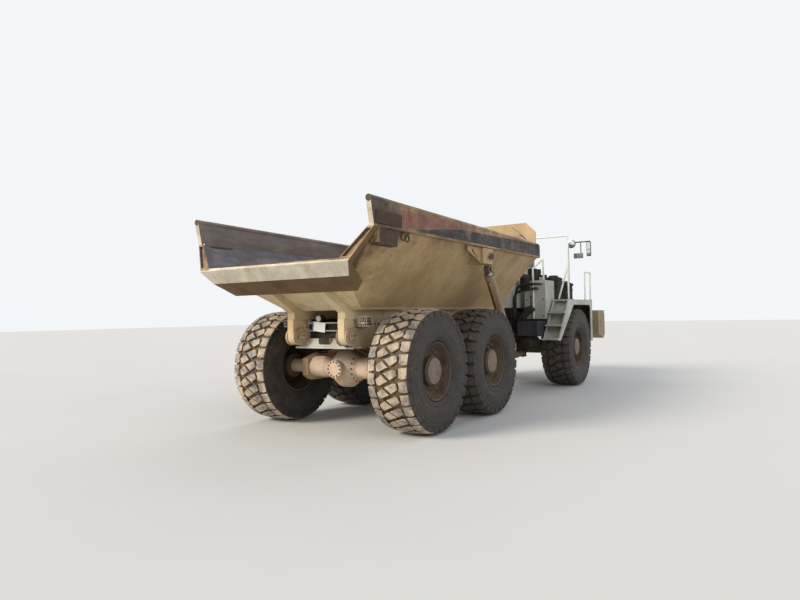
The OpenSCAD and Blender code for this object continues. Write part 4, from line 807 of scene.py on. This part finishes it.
def rear_hoses():
    """Hoses at the tail and the hoists' feet, the lines along the rails, and the lamp's lead."""
    b = Build()
    for sd in BOTH:
        b.pipe([(-3.55, sd * 0.36, 1.02), (-3.6, sd * 0.45, 1.0), (-3.75, sd * 0.44, 1.06),
                (-3.86, sd * 0.33, 1.13)], 0.06, 0.01, 8)
        b.pipe([(-0.66, sd * 0.6, 1.03), (-0.6, sd * 0.95, 1.06), (-0.62, sd * 1.08, 1.09)], 0.08, 0.016, 10)
        b.pipe([(-0.42, sd * 0.545, 1.05), (-1.2, sd * 0.548, 1.19), (-2.2, sd * 0.548, 1.19),
                (-3.1, sd * 0.548, 1.19)], 0.06, 0.012, 8)
        b.pipe([(-0.42, sd * 0.545, 1.01), (-1.2, sd * 0.548, 1.15), (-2.3, sd * 0.548, 1.15)], 0.06, 0.009, 8)
    b.pipe([(-3.96, 0.2, 1.44), (-3.9, 0.24, 1.46), (-3.86, 0.33, 1.44)], 0.03, 0.006, 6)
    b.piece("rear_hoses", "rear_chassis", ["hose"], 60)


def tail_floor_plate():
    """Floor plate and its lip between the hinge clevises, a sloping plate and two slats."""
    b = Build()
    half = 0.345
    b.box((-4.06, -half, 1.112), (-3.93, half, 1.126), 0.003)
    b.box((-4.064, -0.5, 1.098), (-4.05, 0.5, 1.128), 0.003)
    slope = [(-4.058, 1.127), (-3.978, 1.232), (-3.97, 1.226), (-4.05, 1.121)]
    b.rings([[(x, y, z) for x, z in slope] for y in (-half, half)])
    for z in (1.335, 1.44):
        b.tube([(-3.968, -0.349, z), (-3.968, 0.349, z)], 0.009, 10)
    b.piece("tail_floor_plate", "rear_chassis", ["white"])


tail_lamp_guards()
tail_plate()
rear_bolts()
rear_hoses()
tail_floor_plate()


# Dump body: dark pads at the rails' tail, hook and ring, pin caps and weld beads
def body_trim():
    b = Build()
    for sd in BOTH:
        out = (0, sd, 0)
        b.side_box(sd, (-4.875, 1.452, 2.542), (-4.355, 1.474, 2.694), 0.006)
        b.side_box(sd, (-4.802, 1.335, 2.318), (-4.425, 1.454, 2.508), 0.006)
        # hook and ring under the flange
        ring = [(-4.2 + 0.042 * cos(t), sd * 1.435, 2.44 + 0.042 * sin(t)) for t in angles(20)]
        b.tube(ring + ring[:1], 0.011, 8)
        b.pipe([(-4.3, sd * 1.43, 2.5), (-4.33, sd * 1.43, 2.43), (-4.27, sd * 1.435, 2.4),
                (-4.2, sd * 1.435, 2.475), (-4.16, sd * 1.43, 2.508)], 0.03, 0.012, 8)
        # pin caps on the hoist bracket
        for r, x, z in ((0.05, HOIST_PIN_X, HOIST_PIN_Z), (0.03, -1.985, 2.372)):
            b.cap((x, sd * 1.487, z), out, r, 0.008, 0.003, 24)
        b.bolt_ring((HOIST_PIN_X, sd * 1.4955, HOIST_PIN_Z), out, 0.03, 3, 0.01, 0.008, 1, 0.3)
        # weld beads where the wall meets the floor
        for k in range(60):
            x = -4.02 + k * 0.0665
            b.tube([(x, sd * 0.6795, 1.642), (x + 0.06, sd * 0.6795, 1.642)], [0.005, 0.004], 6, 2)
    b.piece("body_trim", "dump_body", ["pad", "bolt", "body"])


body_trim()


# Tractor
def mirror_glass():
    b = Build()
    for sd in BOTH:
        b.side_box(sd, (3.3825, 1.388, 2.797), (3.3855, 1.464, 3.095), 0.001)
        b.side_box(sd, (3.3885, 1.098, 2.758), (3.3915, 1.282, 2.854), 0.001)
        b.disc((3.3855, sd * 1.03, 3.087), (-1, 0, 0),
               [(0, 0.087), (0.004, 0.084), (0.009, 0.06), (0.011, 0.001)], 32)
    b.piece("mirror_glass", "tractor", ["mirror"])


def suction_hose_runs():
    """The suction hoses run on from the tank to the pump under the cab, with their clamps."""
    b = Build()
    runs = [(-0.99, 2.107, [(1.215, -0.93, 2.1), (1.175, -0.62, 2.07), (1.165, -0.575, 1.9),
                             (1.165, -0.575, 1.45), (1.3, -0.49, 1.24)]),
            (-0.93, 2.017, [(1.2, -0.87, 2.0), (1.105, -0.62, 1.95), (1.085, -0.575, 1.8),
                             (1.085, -0.575, 1.4), (1.22, -0.49, 1.18)])]
    for y, z, rest in runs:
        b.pipe([(1.475, y, z), (1.33, y, z)] + rest, 0.09, 0.0245, 16, 0, 8)
        for x in (1.455, 1.425, 1.345):
            b.disc((x, y, z), (1, 0, 0),
                   [(-0.006, 0.0262), (-0.005, 0.0272), (0.005, 0.0272), (0.006, 0.0262)], 16, 1)
    obj = b.piece("suction_hose_runs", "tractor", ["hose", "bolt"], 50)
    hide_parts("suction_hoses")


def tractor_hoses():
    """The pack of hoses and its flap below the cab's rear wall, and the short hoses at the rails."""
    b = Build()
    b.box((1.128, -0.575, 1.1), (1.14, -0.1, 1.66), 0.004, 1)
    for k in range(5):
        y = -0.5 + k * 0.085
        b.pipe([(1.12, y, 1.62), (1.07, y - 0.02, 1.5), (1.055, y - 0.03, 1.3), (1.1, y, 1.16),
                (1.2, y, 1.14)], 0.08, 0.014 + 0.003 * (k % 2), 10, 0, 6)
    for sd in BOTH:
        rail = sd * 0.44  # just outside the rail
        b.pipe([(1.7, rail, 1.1), (1.8, sd * 0.5, 1.02), (1.78, rail, 0.93), (1.6, rail, 0.9)],
               0.05, 0.01, 8)
        b.pipe([(2.3, rail, 1.16), (2.42, sd * 0.6, 1.1), (2.46, sd * 0.8, 0.98)], 0.06, 0.009, 8)
    b.pipe([(1.62, -0.8, 1.39), (1.6, -0.82, 1.2), (1.78, -0.86, 0.99), (1.98, -0.88, 1.0),
            (2.04, -0.9, 1.22)], 0.12, 0.007, 8, 0, 8)
    b.piece("tractor_hoses", "tractor", ["hose", "black"], 50)


def gear_case():
    """A gear case that hangs between the rails on two bars."""
    b = Build()
    x, z = 1.62, 0.86
    b.disc((x, -0.17, z), (0, 1, 0),
           [(0, 0.02), (0, 0.17), (0.02, 0.19), (0.32, 0.19), (0.34, 0.17), (0.34, 0.02)], 28)
    b.box((x - 0.15, -0.19, z), (x + 0.15, 0.19, 1.1), 0.012)
    for sd in BOTH:
        b.bolt_ring((x, sd * 0.172, z), (0, sd, 0), 0.16, 10, 0.011, 0.01, 1)
        b.box((1.44, sd * 0.335 - 0.012, 1.03), (2.05, sd * 0.335 + 0.012, 1.09), 0.004)
    b.piece("gear_case", "tractor", ["dark", "bolt"])


def air_reservoir():
    """An air reservoir slung under the battery box, with its straps, drain and pipe."""
    b = Build()
    y, z = -0.82, 0.965
    b.disc((1.01, y, z), (1, 0, 0), [(0, 0.001), (0.004, 0.05), (0.03, 0.092), (0.05, 0.1),
                                      (0.56, 0.1), (0.58, 0.092), (0.606, 0.05), (0.61, 0.001)], 28)
    for x in (1.12, 1.33, 1.5):
        b.disc((x, y, z), (1, 0, 0), [(0, 0.099), (0, 0.104), (0.03, 0.104), (0.03, 0.099)], 28, 1)
    for x in (1.125, 1.335):
        b.box((x, -0.9, 1.05), (x + 0.022, -0.74, 1.0868), 0.003, 1)
    b.pipe([(1.6, y, z), (1.645, y, z), (1.64, -0.7, 1.0), (1.6, -0.47, 1.06), (1.6, -0.442, 1.06)],
           0.04, 0.01, 8, 2)
    b.bolt((1.3, y, 0.866), (0, 0, -1), 0.014, 0.02, 1)
    b.piece("air_reservoir", "tractor", ["black", "dark", "hose"])


def rubber_duct():
    """A ribbed rubber duct from the tank's foot to the frame."""
    b = Build()
    run = bend([(TANK_BACK_X, -0.8, 1.6), (1.25, -0.8, 1.59), (1.14, -0.76, 1.5),
                (1.12, -0.7, 1.34), (1.18, -0.58, 1.23), (1.3, -0.442, 1.19)], 0.1, 10)
    b.tube(run, [0.07 + 0.006 * (i % 2) for i in range(len(run))], 20)
    b.piece("rubber_duct", "tractor", ["hose"])


def tank_trim():
    """Filler neck, sight glass and strap bolts of the tank."""
    b = Build()
    back = (-1, 0, 0)
    b.disc((1.62, -0.965, 2.186), (0, 0, 1),
           [(0, 0.05), (0.03, 0.05), (0.031, 0.058), (0.058, 0.058), (0.064, 0.05), (0.064, 0.001)], 20)
    b.box((1.4695, -0.8, 1.62), (1.4755, -0.77, 1.86), 0.004, 1)
    for z in (1.61, 1.87):
        b.bolt((TANK_BACK_X, -0.785, z), back, 0.014, 0.014, 1)
    for y in (-1.04, -0.7):
        for z in (1.47, 1.8, 2.12):
            b.bolt((TANK_BACK_X, y, z), back, 0.012, 0.01, 1)
    b.piece("tank_trim", "tractor", ["white", "bolt"])


def deck_trim():
    """Raised studs on the steps and decks, and flanges at the feet of the handrails."""
    b = Build()
    up = (0, 0, 1)
    stud = [(0, 0.009), (0.004, 0.007), (0.004, 0.001)]
    for sd in BOTH:
        for i in range(3):
            share = i * 0.32 + 0.02
            x = 1.165 + 0.67 * share
            z = 0.987 + 0.81 * share + 0.026
            for m in range(3):
                for k in range(7):
                    b.disc((x - 0.06 + m * 0.055, sd * (1.16 + k * 0.042), z - 0.001), up, stud, 8)
        for m in range(20):
            for k in range(5):
                b.disc((2.52 + m * 0.045, sd * (1.22 + k * 0.042), DECK_Z - 0.001), up, stud, 8)
        for x in (3.015, 3.415):
            b.cap((x, sd * 1.433, DECK_Z + 0.0005), up, 0.034, 0.009, 0.004, 16)
    b.piece("deck_trim", "tractor", ["white"])


mirror_glass()
suction_hose_runs()
tractor_hoses()
gear_case()
air_reservoir()
rubber_duct()
tank_trim()
deck_trim()


# Cab
def seal(b, plane, value, lo, hi):
    """A frame of rubber round an opening; plane is the axis it lies across."""
    wide, proud = 0.016, 0.004
    (a0, b0), (a1, b1) = lo, hi
    for r0, s0, r1, s1 in ((a0 - wide, b0 - wide, a1 + wide, b0), (a0 - wide, b1, a1 + wide, b1 + wide),
                           (a0 - wide, b0, a0, b1), (a1, b0, a1 + wide, b1)):
        if plane == 0:
            b.box((value - proud, r0, s0), (value + proud, r1, s1), 0.002)
        else:
            b.box((r0, value - proud, s0), (r1, value + proud, s1), 0.002)


def cab_trim():
    """Seals of the panes, wiper, lamps under the roof's visor, vent and panel seams."""
    b = Build()
    for x in (CAB_FRONT_X, CAB_BACK_X):
        seal(b, 0, x, (-0.41, PANE_FOOT), (0.74, PANE_TOP))
    seal(b, 1, CAB_RIGHT_Y, (1.235, PANE_FOOT), (2.315, PANE_TOP))
    seal(b, 1, CAB_LEFT_Y, (1.235, PANE_FOOT), (1.435, PANE_TOP))
    # wiper: post, arm and blade
    b.disc((2.43, 0.36, 2.168), (1, 0, 0), [(-0.01, 0.02), (0.03, 0.02), (0.034, 0.014), (0.034, 0.001)],
           14)
    b.pipe([(2.452, 0.36, 2.168), (2.456, 0.22, 2.4), (2.446, 0.06, 2.66)], 0.05, 0.007, 8)
    b.tube([(2.436, -0.04, 2.47), (2.438, 0.06, 2.66), (2.436, 0.17, 2.86)], 0.008, 6)
    # lamps to the front and to the rear: case and lens
    for places, half, case, lens in (((-0.36, -0.16, 0.5, 0.7), 0.055, (2.428, 2.475), (2.474, 2.478)),
                                     ((-0.38, 0.7), 0.05, (1.075, 1.122), (1.072, 1.076))):
        for y in places:
            b.box((case[0], y - half, 3.172), (case[1], y + half, 3.226), 0.008)
            b.box((lens[0], y - half + 0.008, 3.18), (lens[1], y + half - 0.008, 3.218), 0.002, 1)
    # vent in the rear wall, and seams between the walls' panels
    for k in range(7):
        b.box((1.118, -0.3, 1.86 + k * 0.03), (1.128, 0.1, 1.872 + k * 0.03), 0.003)
    seam = 2.13
    b.box((1.1225, -0.5, seam), (1.1255, 0.83, seam + 0.006), 0.001)
    b.box((1.14, -0.5225, seam), (2.41, -0.5195, seam + 0.006), 0.001)
    b.piece("cab_trim", "tractor", ["black", "clear"])


def door_trim():
    """Seal of the door's pane, lock, handle and the seam at the door's middle."""
    b = Build()
    seal(b, 1, CAB_LEFT_Y, (1.595, PANE_FOOT), (2.155, 3.06))
    b.box((2.16, 0.848, 2.06), (2.215, 0.856, 2.15), 0.006)
    b.pipe([(2.172, 0.852, 2.075), (2.172, 0.882, 2.085), (2.172, 0.882, 2.135), (2.172, 0.852, 2.145)],
           0.012, 0.007, 8, 0, 3)
    b.box((1.515, 0.8485, 1.822), (2.235, 0.8525, 1.83), 0.001)
    b.piece("door_trim", "cab_door", ["black"])


cab_trim()
door_trim()


# Nose, hood and radiator
def nose_trim():
    """Lamp rings and the ribs of their lenses, bumper bolts, side lamps and the towing pins."""
    b = Build()
    for sd in BOTH:
        for y in (0.82, 1.08):
            ring = [(0.0835, 5.07), (0.0835, 5.079), (0.094, 5.079), (0.097, 5.074), (0.097, 5.068)]
            loops = [[(x, sd * y + r * cos(t), LAMP_Z + r * sin(t)) for t in angles(40)] for r, x in ring]
            b.rings(loops + loops[:1], 0, OPEN)
            for k in range(-3, 4):
                w = sqrt(0.08 ** 2 - (k * 0.022) ** 2)
                rib = sd * y + k * 0.022
                b.box((5.0675, rib - 0.0015, LAMP_Z - w), (5.0705, rib + 0.0015, LAMP_Z + w), 0.0005, 1)
        for y in (0.24, 0.4, 0.56):
            for z in (1.06, 1.19):
                b.bolt((BUMPER_X, sd * y, z), (1, 0, 0), 0.015, 0.013, 2)
        b.side_box(sd, (5.0745, 1.115, 1.15), (5.083, 1.255, 1.205), 0.004, 3)
        b.pipe([(5.02, sd * 0.16, 1.245), (5.02, sd * 0.16, 1.285), (5.02, sd * 0.1, 1.285),
                (5.02, sd * 0.1, 1.245)], 0.02, 0.008, 8, 2, 3)
    b.piece("nose_trim", "tractor", ["black", "clear", "bolt", "amber"])


def hood_trim():
    """Lips of the louvres, rubber latches with their bolts, and the screws of the grille's frame."""
    b = Build()
    for sd in BOTH:
        for k in range(7):
            x = 3.355 + k * 0.09
            b.tube([(x - 0.004, sd * 0.562, 1.416), (x + 0.028, sd * 0.562, 1.704)], 0.0055, 6)
        for x in (2.62, 3.1, 4.3):
            b.side_box(sd, (x - 0.018, 0.559, 1.285), (x + 0.018, 0.576, 1.375), 0.006, 1)
            b.bolt((x, sd * 0.574, 1.355), (0, sd, 0), 0.009, 0.008, 2)
    for y in (-0.5, -0.25, 0.0, 0.25, 0.5):
        for z in (1.3, 1.742):
            b.bolt((GRILLE_X, y, z), (1, 0, 0), 0.009, 0.007, 2)
    b.piece("hood_trim", "hood", ["white", "black", "bolt"])


def radiator():
    """The radiator that shows through the grille: frame, core, upright fins and cap."""
    b = Build()
    back, front = 4.3, 4.4
    b.box((back, -0.53, 1.13), (front, 0.53, 1.19), 0.006)
    b.box((back, -0.53, 1.6), (front, 0.53, 1.67), 0.01)
    for sd in BOTH:
        b.side_box(sd, (back, 0.38, 1.192), (front, 0.53, 1.598), 0.006)
    b.box((4.32, -0.378, 1.192), (4.372, 0.378, 1.598), 0.002, 1)
    for k in range(42):
        y = -0.369 + k * 0.018
        b.box((4.3725, y - 0.002, 1.193), (4.388, y + 0.002, 1.597), 0.0008, 1)
    b.disc((4.35, -0.25, 1.671), (0, 0, 1), [(0, 0.034), (0.022, 0.034), (0.026, 0.028), (0.026, 0.001)],
           16)
    b.piece("radiator", "tractor", ["dark", "black"])


nose_trim()
hood_trim()
radiator()


# Stage and light
def stage():
    me = bpy.data.meshes.new("floor")
    h = 90
    me.from_pydata([(-h, -h, 0), (h, -h, 0), (h, h, 0), (-h, h, 0)], [], [(0, 1, 2, 3)])
    obj = show("floor", me)
    s = Shade("floor_pale")
    col = s.mix((0.62, 0.61, 0.59, 1), (0.66, 0.65, 0.63, 1), s.noise(0.4, 3))
    me.materials.append(s.done(col, 0.95))


def sun(name, toward, angle, power, color):
    """A soft sun that shines from the given direction."""
    data = bpy.data.lights.new(name, "SUN")
    data.energy = power
    data.angle = radians(angle)
    data.color = color
    show(name, data).rotation_euler = Vector(toward).to_track_quat("Z", "Y").to_euler()


def world():
    """A dim sky gives light; a bright one is seen directly, in gloss and through glass."""
    w = bpy.data.worlds.new("studio")
    bpy.context.scene.world = w
    w.use_nodes = True
    t = w.node_tree
    t.nodes.clear()
    ray = add_node(t, "LightPath").outputs
    seen = ray["Is Camera Ray"]
    for other in ("Is Glossy Ray", "Is Transmission Ray"):
        either = add_node(t, "Math", {0: seen, 1: ray[other]})
        either.operation = "MAXIMUM"
        seen = either.outputs[0]
    dim = add_node(t, "Background", {0: (0.8, 0.86, 0.95, 1), 1: 0.55})
    bright = add_node(t, "Background", {0: (0.9, 0.92, 0.94, 1), 1: 1.0})
    mixer = add_node(t, "MixShader", {0: seen, 1: dim.outputs[0], 2: bright.outputs[0]})
    add_node(t, "OutputWorld", {0: mixer.outputs[0]})


stage()
world()
sun("key", (-0.8, 0.42, 0.52), 22.0, 2.9, (1.0, 0.93, 0.82))
sun("fill", (-0.3, -0.85, 0.45), 60.0, 0.75, (0.95, 0.97, 1.0))
sun("front", (0.85, 0.2, 0.6), 60.0, 0.7, (1.0, 0.98, 0.95))

bpy.context.scene.view_settings.view_transform = "Standard"
